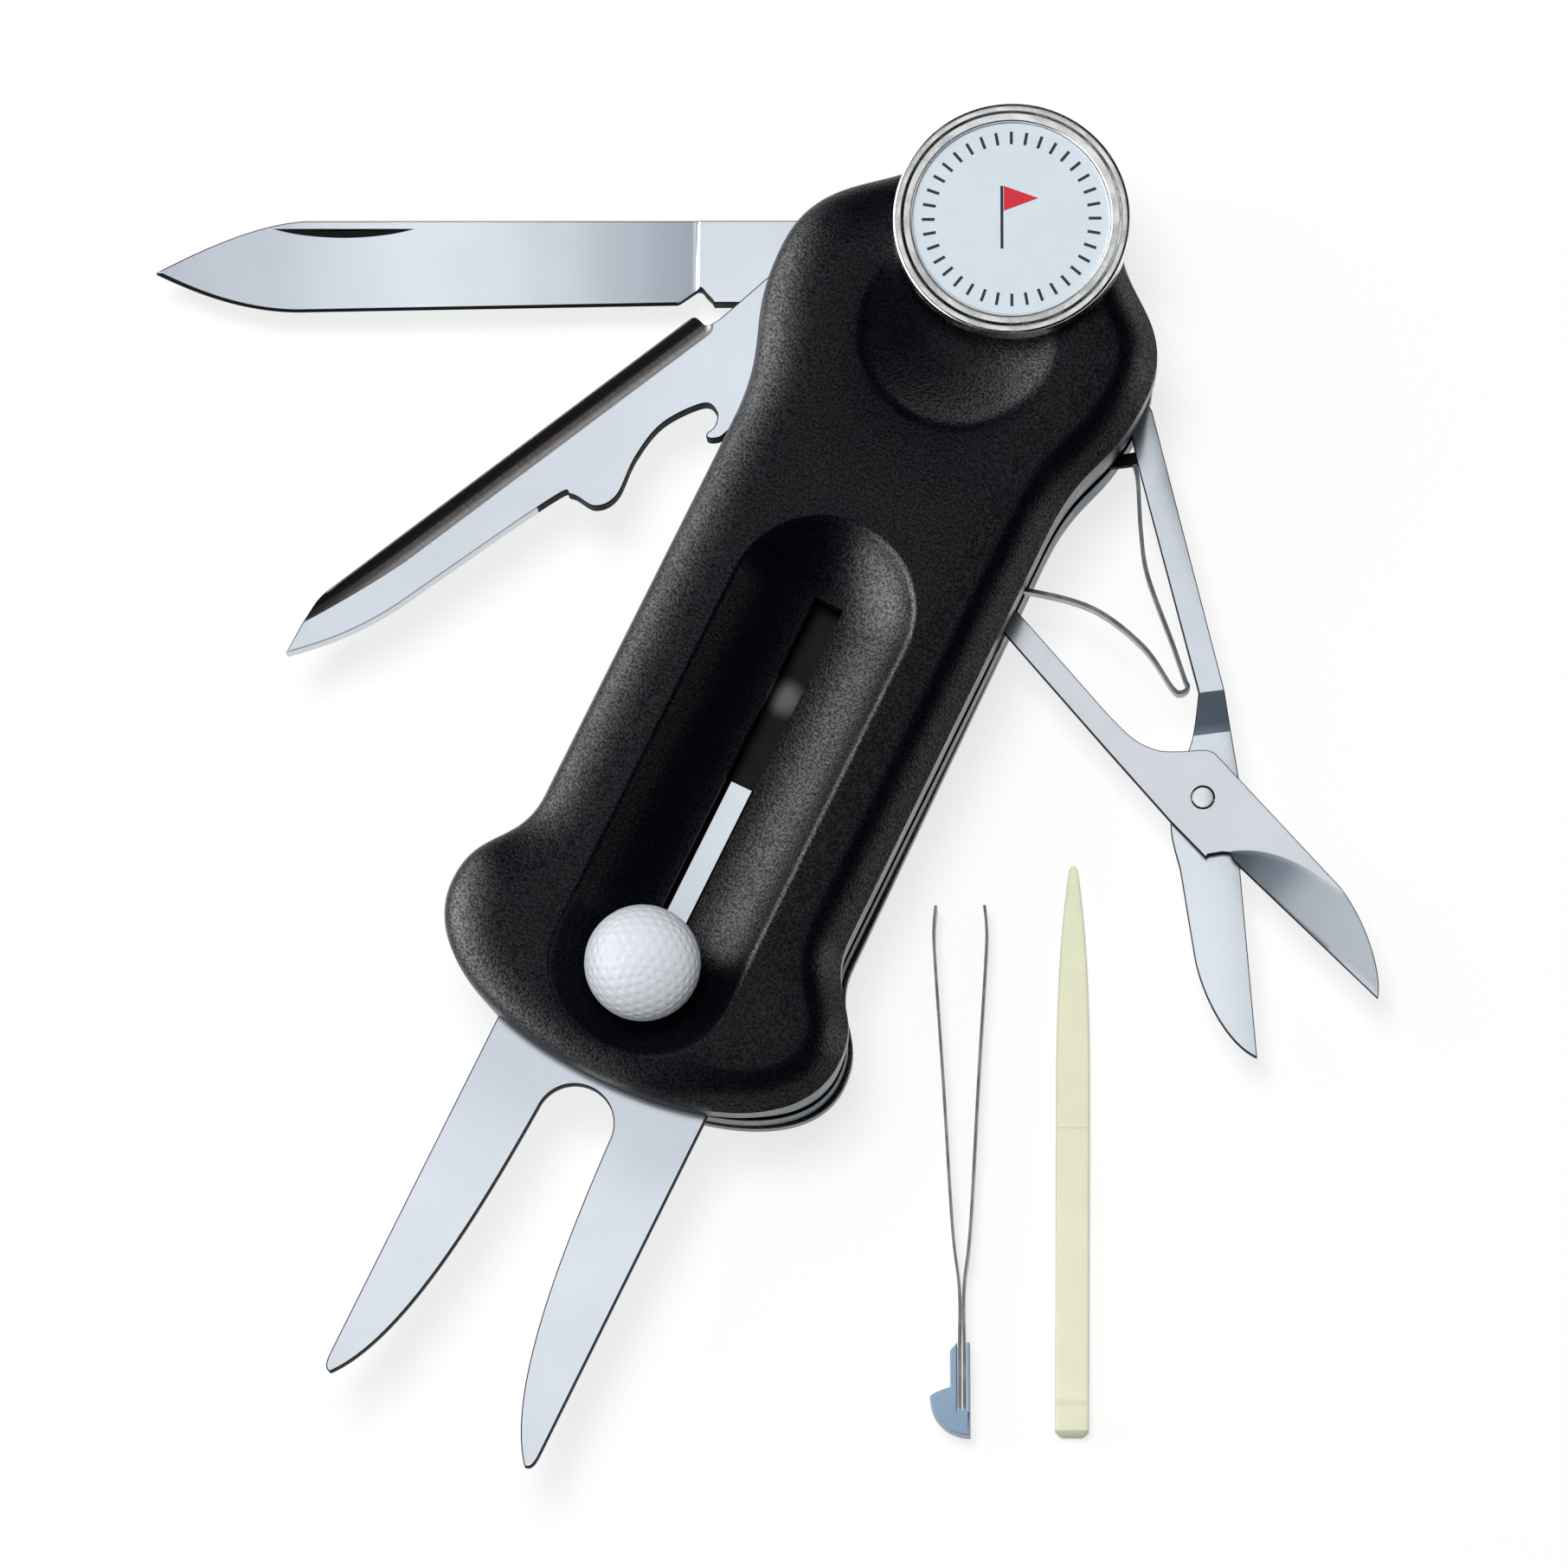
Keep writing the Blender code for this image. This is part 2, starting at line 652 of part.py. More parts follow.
def build_back_scale(handle):
    """The lower grip scale, with the storage slots of the toothpick and the tweezers."""
    bottom, top = LEVEL["back_scale"]
    mesh = crowned_mesh("back_scale", top, bottom, BACK_CROWN_WIDTH, BACK_CROWN_DROP)
    scale = add_part("back_scale", mesh, "black_nylon", handle)
    slots = (
        ("toothpick_slot", TOOTHPICK_SLOT_X, 2 * TOOTHPICK_HALF, TOOTHPICK_THICKNESS, TOOTHPICK_LENGTH),
        ("tweezers_slot", TWEEZERS_SLOT_X, LEAF_WIDTH, TWEEZERS_SLOT_DEPTH, LEAF_REACH + LEAF_ROOT),
    )
    for name, x, width, depth, length in slots:
        half = width / 2 + SIDE_GAP
        low = (x - half, HANDLE_BOTTOM - CUT_MARGIN, top - depth - SIDE_GAP)
        high = (x + half, HANDLE_BOTTOM + length, top + CUT_MARGIN)
        combine(scale, add_cutter(name, box_mesh(name, low, high)))
    cut_sockets(scale, ("pivot_pin", "top_pin", "corner_pin_left", "corner_pin_back"))


def build_liners(handle):
    """The four steel plates between the layers."""
    shared = ("pivot_pin", "top_pin", "corner_pin_left", "scissors_pin", "spring_pin")
    lower = shared + ("corner_pin_back",)
    upper = shared + ("corner_pin_front",)
    holes = {"liner_back": lower, "liner_blade": lower, "liner_scissors": upper, "liner_fork": upper}
    for name, pins in holes.items():
        loops = [handle_outline(PLATE_INSET, PLATE_STEPS)] + pin_holes(pins)
        add_part(name, plate_mesh(name, loops, LEVEL[name]), "spring_steel", handle)


def build_fork_guides(handle):
    """The two rails beside the fork; they close in behind it and leave a lane for its tail."""
    lane = TAIL_HALF + SIDE_GAP
    bay_half = FORK_HALF + SIDE_GAP
    bay_end = STEM_OUT_Y + FORK_TRAVEL + FORK_SHOULDER + SIDE_GAP
    bottom, top = LEVEL["fork"]
    low = (-bay_half, HANDLE_BOTTOM - CUT_MARGIN, bottom - CUT_MARGIN)
    high = (bay_half, bay_end, top + CUT_MARGIN)
    bay = add_cutter("fork_bay", box_mesh("fork_bay", low, high))
    outline = handle_outline(PLATE_INSET, PLATE_STEPS)
    sides = (
        ("fork_guide_left", -1, ("pivot_pin", "corner_pin_left")),
        ("fork_guide_right", 1, ("top_pin", "corner_pin_front")),
    )
    for name, side, pins in sides:
        loops = [clipped(outline, side * lane, side)] + pin_holes(pins)
        combine(add_part(name, plate_mesh(name, loops, LEVEL["fork"]), "spring_steel", handle), bay)


def build_spacers(handle):
    """The filler plates of the three tool layers."""
    outline = handle_outline(PLATE_INSET, PLATE_STEPS)
    right = SPRING_RIGHT + SIDE_GAP
    plates = (
        ("blade_spacer", "blade", right, 1, ("top_pin", "corner_pin_back", "scissors_pin")),
        ("opener_spacer", "opener", right, 1, ("top_pin", "corner_pin_front", "scissors_pin")),
        ("scissors_spacer", "scissors", right, -1, ("pivot_pin", "corner_pin_left", "spring_pin")),
    )
    for name, layer, limit, side, pins in plates:
        loops = [clipped(outline, limit, side)] + pin_holes(pins)
        add_part(name, plate_mesh(name, loops, LEVEL[layer]), "spring_steel", handle)


def build_tool_springs(handle):
    """The bar springs of the blade and the opener: a foot on the corner rivet and a toe on the tang."""
    toe_left = BLADE_PIVOT_X + TANG_RADIUS + SIDE_GAP
    toe_low = BLADE_PIVOT_Y - SPRING_TOE_HALF
    toe_high = BLADE_PIVOT_Y + SPRING_TOE_HALF
    wall = PIN_RADIUS + SPRING_WALL
    foot_left = CORNER_PIN_LEFT_X - wall
    foot_low = CORNER_PIN_Y - wall
    foot_high = CORNER_PIN_Y + wall
    for name, layer, bar_left in (
        ("blade_spring", "blade", toe_left),
        ("opener_spring", "opener", OPENER_SPRING_LEFT),
    ):
        outline = [
            (foot_left, foot_low),
            (SPRING_RIGHT, foot_low),
            (SPRING_RIGHT, toe_high),
            (toe_left, toe_high),
            (toe_left, toe_low),
            (bar_left, toe_low - (bar_left - toe_left) - SIDE_GAP),
            (bar_left, foot_high),
            (foot_left, foot_high),
        ]
        loops = [outline] + pin_holes(("corner_pin_left", "spring_pin"))
        add_part(name, plate_mesh(name, loops, LEVEL[layer]), "spring_steel", handle)


def build_scissors_backspring(handle):
    """The tapered spring that hangs on the top rivet and presses on the scissors' tang."""
    pivot = (SCISSORS_PIVOT_X, SCISSORS_PIVOT_Y)
    toe = arc(pivot, SCISSORS_TANG + SIDE_GAP, *BACKSPRING_TOE_ANGLES, 4)
    anchor = arc((TOP_PIN_X, TOP_PIN_Y), BACKSPRING_HALF, 200.0, -20.0, 12)
    loops = [toe + anchor] + pin_holes(("top_pin",))
    mesh = plate_mesh("scissors_backspring", loops, FIXED_LEVEL)
    add_part("scissors_backspring", mesh, "spring_steel", handle)


def build_pins(handle):
    """The rivets."""
    for name, (x, y, bottom, top) in PINS.items():
        add_part(name, cylinder_mesh(name, (x, y), pin_radius(name), (bottom, top)), "brass", handle)


def build_magnet(handle):
    """The disc magnet under the ball marker."""
    top = LEVEL["front_scale"][1] - FACE_GAP
    level = (top - MAGNET_HEIGHT, top)
    mesh = cylinder_mesh("marker_magnet", (0.0, MAGNET_Y), MAGNET_RADIUS, level, TURN_STEPS)
    add_part("marker_magnet", mesh, "magnet", handle)


# Sliding fork

def fork_outline():
    """The fork from above, with its stem at the origin."""
    arch = (0.0, -FORK_REACH + PRONG_LENGTH - PRONG_GAP_HALF)
    tip = (FORK_HALF - PRONG_TIP, -FORK_REACH)
    gap = (PRONG_GAP_HALF, arch[1])
    reach = gap[1] - tip[1]
    spread = tip[0] - gap[0]
    half = [
        (0.0, TAIL_REACH),
        (TAIL_HALF, TAIL_REACH),
        (TAIL_HALF, FORK_SHOULDER),
        (FORK_HALF - FORK_CORNER, FORK_SHOULDER),
        (FORK_HALF, FORK_SHOULDER - FORK_CORNER),
        (FORK_HALF, -FORK_REACH + 2 * PRONG_TIP),
        (FORK_HALF - 0.3 * PRONG_TIP, -FORK_REACH + 0.4 * PRONG_TIP),
        tip,
    ]
    bow = (gap[0] + 0.27 * spread, gap[1] - 0.82 * reach)
    lean = (gap[0] + 0.09 * spread, gap[1] - 0.37 * reach)
    half += bezier(tip, bow, lean, gap, 2 * OUTLINE_STEPS)
    half += arc(arch, PRONG_GAP_HALF, 0.0, 90.0, 6)[1:-1]
    half += [(0.0, arch[1] + PRONG_GAP_HALF)]
    return mirrored(half)


def build_fork():
    """The divot fork with its stem and the golf-ball button."""
    slide = add_empty("fork_slide", (0.0, STEM_OUT_Y))
    bottom, top = LEVEL["fork"]
    loops = [fork_outline(), circle((0.0, 0.0), STEM_FOOT_RADIUS + RUN_GAP)]
    add_part("fork", plate_mesh("fork", loops, (bottom, top)), "blade_steel", slide)
    centre = ball_height()
    floor = centre - math.sqrt(BALL_RADIUS ** 2 - (STEM_RADIUS + RUN_GAP) ** 2) + BALL_FLAT
    shoulder = top + FACE_GAP
    stem_top = floor + STEM_INTO_BALL
    profile = [
        (0.0, stem_top),
        (STEM_RADIUS, stem_top),
        (STEM_RADIUS, shoulder),
        (STEM_FOOT_RADIUS, shoulder),
        (STEM_FOOT_RADIUS, bottom),
        (0.0, bottom),
    ]
    spin(add_part("slider_stem", profile_mesh("slider_stem", profile), "blade_steel", slide), PIN_SIDES)
    rim = STEM_RADIUS + RUN_GAP
    flat_radius = math.sqrt(BALL_RADIUS ** 2 - (centre - floor) ** 2)
    low = math.degrees(math.asin((floor - centre) / BALL_RADIUS))
    ball = arc((0.0, centre), BALL_RADIUS, 90.0, low, 12)
    ball[0] = (0.0, centre + BALL_RADIUS)
    ball[-1] = (flat_radius, floor)
    socket_top = stem_top + FACE_GAP
    ball += [(rim, floor), (rim, socket_top), (0.0, socket_top)]
    spin(add_part("slider_ball", profile_mesh("slider_ball", ball), "white_plastic", slide), 24)


# Ball marker

def build_marker():
    """The lift-off ball marker: a rimmed coin and its face."""
    lift = add_empty("marker_lift", (0.0, BOSS_Y))
    bottom = LEVEL["front_scale"][1] + FACE_GAP
    top = bottom + MARKER_HEIGHT
    well = MARKER_RADIUS - MARKER_LIP
    face = top - INSERT_DEPTH
    floor = face - INSERT_THICKNESS - FACE_GAP
    rim = [
        (0.0, floor),
        (well, floor),
        (well, top - MARKER_BEVEL / 2),
        (well + MARKER_BEVEL / 2, top),
        (MARKER_RADIUS - MARKER_BEVEL, top),
        (MARKER_RADIUS, top - MARKER_BEVEL),
        (MARKER_RADIUS, bottom + MARKER_BEVEL),
        (MARKER_RADIUS - MARKER_BEVEL, bottom),
        (0.0, bottom),
    ]
    spin(add_part("marker_rim", profile_mesh("marker_rim", rim), "chrome", lift), 48)
    level = (face - INSERT_THICKNESS, face)
    mesh = cylinder_mesh("marker_insert", (0.0, 0.0), well - RUN_GAP, level, 48)
    add_part("marker_insert", mesh, "marker_print", lift)


# Folding tools

def blade_outline():
    """The pen blade, folded: its spine at the left, its edge at the right and its point down."""
    tip = (0.16 * MM, -BLADE_REACH)
    spine_end = (-BLADE_SPINE, -BLADE_SPINE_END)
    belly_end = (BLADE_BELLY, -BLADE_BELLY_END)
    tang_low = -math.degrees(math.acos(BLADE_HEEL / TANG_RADIUS))
    tang_end = 180.0 + math.degrees(math.acos(BLADE_SPINE / TANG_RADIUS))
    drop = BLADE_REACH - BLADE_SPINE_END
    outline = arc((0.0, 0.0), TANG_RADIUS, tang_low, tang_end, 20)
    outline += [spine_end]
    outline += bezier(
        spine_end,
        (-BLADE_SPINE, spine_end[1] - 0.3 * drop),
        (-0.5 * BLADE_SPINE, spine_end[1] - 0.67 * drop),
        tip,
        8,
    )
    rise = BLADE_REACH - BLADE_BELLY_END
    outline += bezier(
        tip,
        (0.45 * BLADE_BELLY, tip[1] + 0.24 * rise),
        (BLADE_BELLY, tip[1] + 0.58 * rise),
        belly_end,
        8,
    )
    outline += [
        (BLADE_HEEL, -BLADE_PLUNGE - CHOIL_WIDTH / 2),
        (BLADE_HEEL - CHOIL_DEPTH, -BLADE_PLUNGE + CHOIL_WIDTH / 4),
        (BLADE_HEEL, -BLADE_PLUNGE + CHOIL_WIDTH),
    ]
    return outline


def build_blade():
    """The blade: ground on both faces from the plunge line, with a nail nick by the spine."""
    pivot = add_empty("blade_pivot", (BLADE_PIVOT_X, BLADE_PIVOT_Y), -BLADE_OPEN)
    level = LEVEL["blade"]
    loops = [blade_outline(), circle((0.0, 0.0), PIN_RADIUS + RUN_GAP)]
    blade = add_part("blade", plate_mesh("blade", loops, level), "blade_steel", pivot)
    drop = (TOOL_THICKNESS - EDGE_THICKNESS) / 2
    far = -BLADE_REACH - CUT_MARGIN
    for name, up in (("blade_grind_top", True), ("blade_grind_bottom", False)):
        grind = grind_cutter(name, pivot, -BLADE_SPINE, BLADE_BELLY, far, -BLADE_PLUNGE, level, drop, up)
        combine(blade, grind)
    radius = (NICK_LENGTH ** 2 / 4 + NICK_RISE ** 2) / (2 * NICK_RISE)
    half_angle = math.degrees(math.asin(NICK_LENGTH / 2 / radius))
    chord_x = -BLADE_SPINE + NICK_FROM_SPINE
    centre = (chord_x + NICK_RISE - radius, -NICK_START - NICK_LENGTH / 2)
    nick = arc(centre, radius, -half_angle, half_angle, 10)
    depth = (level[1] - SPINE_RELIEF - NICK_DEPTH, level[1] + CUT_MARGIN)
    combine(blade, add_cutter("nail_nick", plate_mesh("nail_nick", [nick], depth), pivot))


def opener_outline():
    """The groove cleaner with its cap lifter, folded: its back at the left and its point down."""
    tip = (OPENER_TIP_X, -OPENER_REACH)
    hook = -LIFTER_HOOK
    lifter = through(
        [
            (0.3 * MM, -0.83 * OPENER_REACH),
            (0.95 * MM, -LIFTER_BUMP - 3.8 * MM),
            (1.7 * MM, -LIFTER_BUMP - 1.9 * MM),
            (3.8 * MM, -LIFTER_BUMP - 0.9 * MM),
            (4.2 * MM, -LIFTER_BUMP + 1.2 * MM),
            (2.5 * MM, -LIFTER_BUMP + 4.5 * MM),
            (1.56 * MM, -LIFTER_MOUTH),
            (2.3 * MM, hook + 0.9 * MM),
            (3.6 * MM, hook + 1.4 * MM),
            (4.45 * MM, hook + 0.6 * MM),
            (4.55 * MM, hook - 0.3 * MM),
        ]
    )
    tang_low = -27.0
    tang_end = 180.0 + math.degrees(math.asin(OPENER_NECK / TANG_RADIUS))
    outline = arc((0.0, 0.0), TANG_RADIUS, tang_low, tang_end, 20)
    outline += [
        (-OPENER_NECK, -0.9 * OPENER_NOTCH),
        (-OPENER_NECK - 0.2 * MM, -OPENER_NOTCH),
        (-OPENER_BACK, -OPENER_NOTCH - 0.1 * MM),
        (-OPENER_BACK, -OPENER_BACK_END),
    ]
    side = OPENER_REACH - OPENER_BACK_END
    outline += bezier(
        outline[-1],
        (-OPENER_BACK, -OPENER_BACK_END - 0.3 * side),
        (tip[0] - 0.9 * MM, tip[1] + 0.35 * side),
        tip,
        4,
    )
    outline += bezier(tip, (tip[0] + 0.9 * MM, tip[1] + 2.2 * MM), (0.0, tip[1] + 5.5 * MM), lifter[0], 5)
    outline += lifter[1:]
    outline += [(LIFTER_REACH - 0.5 * MM, hook - 0.4 * MM), (LIFTER_REACH, hook + 0.4 * MM)]
    return outline


def build_opener():
    """The opener with the groove cleaner's trough along its back."""
    pivot = add_empty("opener_pivot", (BLADE_PIVOT_X, BLADE_PIVOT_Y), -OPENER_OPEN)
    level = LEVEL["opener"]
    loops = [opener_outline(), circle((0.0, 0.0), PIN_RADIUS + RUN_GAP)]
    opener = add_part("opener", plate_mesh("opener", loops, level), "blade_steel", pivot)
    lift = GROOVE_RADIUS - GROOVE_DEPTH
    half = math.sqrt(GROOVE_RADIUS ** 2 - lift ** 2)
    length = OPENER_BACK_END - OPENER_NOTCH + CUT_MARGIN
    mesh = cylinder_mesh("cleaner_groove", (0.0, 0.0), GROOVE_RADIUS, (0.0, length), 24)
    place = Matrix.Translation((-OPENER_BACK + GROOVE_RIM + half, -OPENER_NOTCH + CUT_MARGIN, level[1] + lift))
    mesh.transform(place @ Matrix.Rotation(math.radians(90), 4, "X"))
    combine(opener, add_cutter("cleaner_groove", mesh, pivot))


def scissors_outline():
    """The fixed scissors blade, folded: its tang at the origin and its point down."""
    tang = arc((0.0, 0.0), SCISSORS_TANG, 15.0, 306.0, 20)
    tip = (-0.34 * MM, -SCISSORS_REACH)
    shoulder = RIVET_Y + 1.8 * MM
    inner = [
        (0.36 * MM, -16.5 * MM),
        (-0.66 * MM, RIVET_Y + 0.7 * MM),
        (-1.0 * MM, RIVET_Y - 3.7 * MM),
        (-0.7 * MM, RIVET_Y - 3.6 * MM),
        (0.3 * MM, RIVET_Y - 4.4 * MM),
        (0.66 * MM, RIVET_Y - 4.9 * MM),
        (0.4 * MM, RIVET_Y - 5.6 * MM),
    ]
    belly = bezier(
        tip,
        (1.4 * MM, tip[1] + 1.0 * MM),
        (3.9 * MM, tip[1] + 4.8 * MM),
        (4.7 * MM, tip[1] + 8.7 * MM),
        6,
    )
    neck = through(
        [
            (6.3 * MM, shoulder),
            (5.9 * MM, shoulder + 0.85 * MM),
            (4.45 * MM, shoulder + 2.3 * MM),
            (3.2 * MM, shoulder + 3.9 * MM),
            (2.6 * MM, shoulder + 6.1 * MM),
            (2.75 * MM, shoulder + 9.1 * MM),
        ],
        3,
    )
    ear = [(4.3 * MM, -2.6 * MM), (4.2 * MM, -1.0 * MM)]
    return tang + inner + [tip] + belly + neck + ear


def lever_outline():
    """The scissors' lever, closed, with its rivet at the origin: its blade down and its thumb arm up."""
    point = (1.7 * MM, -LEVER_BLADE)
    edge = bezier(
        (-2.45 * MM, -0.6 * LEVER_BLADE),
        (-2.2 * MM, -0.75 * LEVER_BLADE),
        (-0.6 * MM, -0.94 * LEVER_BLADE),
        point,
        6,
    )
    end_right = (0.1 * MM, LEVER_ARM - 1.2 * MM)
    end_left = (end_right[0] - LEVER_WIDTH, end_right[1])
    crown = arc(((end_right[0] + end_left[0]) / 2, end_right[1]), LEVER_WIDTH / 2, 0.0, 180.0, 6)
    foot = 0.86 * LEVER_ARM
    foot_left = -4.15 * MM
    arm = [
        (end_left[0] + 0.25 * MM, foot + 0.6 * MM),
        (foot_left, foot + 0.5 * MM),
        (foot_left, foot - 0.5 * MM),
        (end_left[0] + 0.35 * MM, foot - 0.5 * MM),
    ]
    neck = [
        (3.05 * MM - LEVER_WIDTH, 9.3 * MM),
        (-0.2 * MM, 5.4 * MM),
        (-1.6 * MM, 2.6 * MM),
        (-3.0 * MM, -1.7 * MM),
        (-2.7 * MM, -5.8 * MM),
        (-2.45 * MM, -0.6 * LEVER_BLADE),
    ]
    heel = [(2.35 * MM, -6.8 * MM), (2.9 * MM, -3.0 * MM), (3.3 * MM, 1.3 * MM), (3.05 * MM, 9.0 * MM)]
    return crown + arm + neck + edge + heel


def lever_neck_side(top):
    """Side view of what is taken off the lever's blade half, ending in a hollow ramp up to its thick arm."""
    low = LEVER_LEVEL[1]
    rise = top - low
    length = LEVER_RAMP_HIGH - LEVER_RAMP_LOW
    radius = (length ** 2 + rise ** 2) / (2 * rise)
    slope = math.degrees(math.asin(length / radius))
    ramp = arc((LEVER_RAMP_LOW, low + radius), radius, -90.0, -90.0 + slope, 6)
    far = -LEVER_BLADE - CUT_MARGIN
    above = top + CUT_MARGIN
    return [(far, low)] + ramp + [(LEVER_RAMP_HIGH, above), (far, above)]


def lever_end_side(top):
    """Side view of what is taken off the thumb end, which thins to slip under the tang's spring."""
    above = top + CUT_MARGIN
    far = LEVER_ARM + CUT_MARGIN
    start = LEVER_THIN_START
    return [(start, top), (LEVER_THIN_END, LEVER_LEVEL[1]), (far, LEVER_LEVEL[1]), (far, above), (start, above)]


def lever_relief(name, parent, side):
    """A cutter right across the lever with a given side view."""
    mesh = plate_mesh(name, [side], (-LEVER_ARM / 2, LEVER_ARM / 2))
    mesh.transform(Matrix(((0, 0, 1, 0), (1, 0, 0, 0), (0, 1, 0, 0), (0, 0, 0, 1))))
    return add_cutter(name, mesh, parent)


def hairpin_path():
    """The scissors' return spring, folded: from the tang round a tight bend to the lever's foot."""
    return through(
        [
            (SCISSORS_TANG + HAIRPIN_THICKNESS / 2 + SIDE_GAP, 0.6 * MM),
            (6.4 * MM, -2.2 * MM),
            (8.86 * MM, -7.3 * MM),
            (9.23 * MM, -12.7 * MM),
            (8.2 * MM, -16.9 * MM),
            (8.35 * MM, -17.8 * MM),
            (9.1 * MM, -17.95 * MM),
            (9.5 * MM, -17.2 * MM),
            (11.1 * MM, -14.4 * MM),
            (14.1 * MM, -8.9 * MM),
            (16.6 * MM, -5.9 * MM),
            (19.8 * MM, -2.7 * MM),
        ],
        3,
    )


def build_scissors():
    """The folding scissors: a fixed blade over a sprung lever, joined by a rivet."""
    pivot = add_empty("scissors_pivot", (SCISSORS_PIVOT_X, SCISSORS_PIVOT_Y), SCISSORS_OPEN)
    rivet_place = (RIVET_X, RIVET_Y)
    loops = [scissors_outline(), circle((0.0, 0.0), PIN_RADIUS + RUN_GAP)]
    loops += [circle(rivet_place, RIVET_RADIUS + RUN_GAP)]
    fixed = add_part("scissors_blade", plate_mesh("scissors_blade", loops, FIXED_LEVEL), "blade_steel", pivot)
    drop = FIXED_LEVEL[1] - FIXED_LEVEL[0] - SCISSORS_EDGE_THICKNESS
    far = -SCISSORS_REACH - CUT_MARGIN
    near = RIVET_Y - 5.2 * MM
    grind = grind_cutter("scissors_grind", pivot, 6.0 * MM, -0.3 * MM, far, near, FIXED_LEVEL, drop, True)
    combine(fixed, grind)
    rivet_level = (LEVER_LEVEL[0], FIXED_LEVEL[1])
    mesh = cylinder_mesh("scissors_rivet", rivet_place, RIVET_RADIUS, rivet_level)
    add_part("scissors_rivet", mesh, "blade_steel", pivot)
    middle = SCISSORS_MID
    spring_level = (middle - HAIRPIN_HEIGHT / 2, middle + HAIRPIN_HEIGHT / 2)
    spring = [strip_outline(hairpin_path(), HAIRPIN_THICKNESS)]
    add_part("scissors_spring", plate_mesh("scissors_spring", spring, spring_level), "spring_steel", pivot)
    rivet = add_empty("lever_pivot", rivet_place, -LEVER_OPEN, pivot)
    loops = [lever_outline(), circle((0.0, 0.0), RIVET_RADIUS + RUN_GAP)]
    thick = (LEVER_LEVEL[0], LEVEL["scissors"][1] - FACE_GAP)
    lever = add_part("scissors_lever", plate_mesh("scissors_lever", loops, thick), "blade_steel", rivet)
    combine(lever, lever_relief("lever_neck", rivet, lever_neck_side(thick[1])))
    combine(lever, lever_relief("lever_end", rivet, lever_end_side(thick[1])))


# Loose helpers

def leaf_path(side):
    """One leaf of the tweezers, from its root to its bent tip; the leaves part at the origin."""
    root = side * (LEAF_THICKNESS + LEAF_GAP) / 2
    wide = side * LEAF_SPREAD
    return [
        (root, -LEAF_ROOT),
        (root, 0.0),
        (root + 0.28 * (wide - root), 0.16 * LEAF_REACH),
        (root + 0.64 * (wide - root), 0.54 * LEAF_REACH),
        (root + 0.98 * (wide - root), 0.87 * LEAF_REACH),
        (wide, 0.95 * LEAF_REACH),
        (0.88 * wide, LEAF_REACH),
    ]


def build_tweezers():
    """The tweezers, lying on edge: two leaves in a claw-shaped head."""
    base = add_empty("tweezers_lift", (TWEEZERS_X, TWEEZERS_Y), TWEEZERS_TURN)
    level = (0.0, LEAF_WIDTH)
    for name, side in (("tweezers_leaf_left", -1), ("tweezers_leaf_right", 1)):
        loop = strip_outline(through(leaf_path(side), 3), LEAF_THICKNESS)
        add_part(name, plate_mesh(name, [loop], level), "blade_steel", base)
    slot = LEAF_THICKNESS + LEAF_GAP / 2 + RUN_GAP * 2
    wall = slot + 0.25 * MM
    top = -0.46 * LEAF_ROOT
    claw = bezier(
        (-2.74 * MM, -LEAF_ROOT + 0.9 * MM),
        (-2.74 * MM, -LEAF_ROOT - 1.0 * MM),
        (-1.2 * MM, -LEAF_ROOT - 2.4 * MM),
        (wall, -LEAF_ROOT - 2.4 * MM),
        6,
    )
    head = [(wall, top), (slot, top), (slot, -LEAF_ROOT - SIDE_GAP), (-slot, -LEAF_ROOT - SIDE_GAP)]
    head += [(-slot, top), (-1.0 * MM, top - 0.7 * MM), (-1.0 * MM, -LEAF_ROOT + 1.7 * MM)]
    head += [(-2.74 * MM, -LEAF_ROOT + 0.9 * MM)] + claw
    mesh = plate_mesh("tweezers_head", [head], (0.0, TWEEZERS_HEAD_HEIGHT))
    add_part("tweezers_head", mesh, "grey_plastic", base)


def build_toothpick():
    """The toothpick: a tapered ivory strip with a raised head and a step on its upper face."""
    base = add_empty("toothpick_lift", (TOOTHPICK_X, TOOTHPICK_Y), TOOTHPICK_TURN)
    stations = [
        (0.0, 0.8 * TOOTHPICK_HALF, 0.8 * TOOTHPICK_HEAD),
        (0.15 * TOOTHPICK_HEAD_LENGTH, TOOTHPICK_HALF, TOOTHPICK_HEAD),
        (0.7 * TOOTHPICK_HEAD_LENGTH, TOOTHPICK_HALF, TOOTHPICK_HEAD),
        (TOOTHPICK_HEAD_LENGTH, TOOTHPICK_HALF, TOOTHPICK_THICKNESS),
        (TOOTHPICK_STEP_Y, TOOTHPICK_HALF, TOOTHPICK_THICKNESS),
        (TOOTHPICK_STEP_Y + TOOTHPICK_STEP, TOOTHPICK_HALF, TOOTHPICK_THICKNESS - TOOTHPICK_STEP),
    ]
    start = (TOOTHPICK_HALF, 0.6 * TOOTHPICK_LENGTH)
    end = (TOOTHPICK_TIP_HALF, TOOTHPICK_LENGTH - TOOTHPICK_TIP_HALF)
    lead = (TOOTHPICK_HALF, 0.8 * TOOTHPICK_LENGTH)
    taper = [start] + bezier(start, lead, (0.7 * TOOTHPICK_HALF, 0.9 * TOOTHPICK_LENGTH), end)
    taper += [(0.5 * TOOTHPICK_TIP_HALF, TOOTHPICK_LENGTH)]
    for half, y in taper:
        thinning = (y - start[1]) / (TOOTHPICK_LENGTH - start[1])
        stations.append((y, half, TOOTHPICK_THICKNESS - TOOTHPICK_STEP * (1 + 2 * thinning)))
    add_part("toothpick", loft_mesh("toothpick", stations), "ivory_plastic", base)


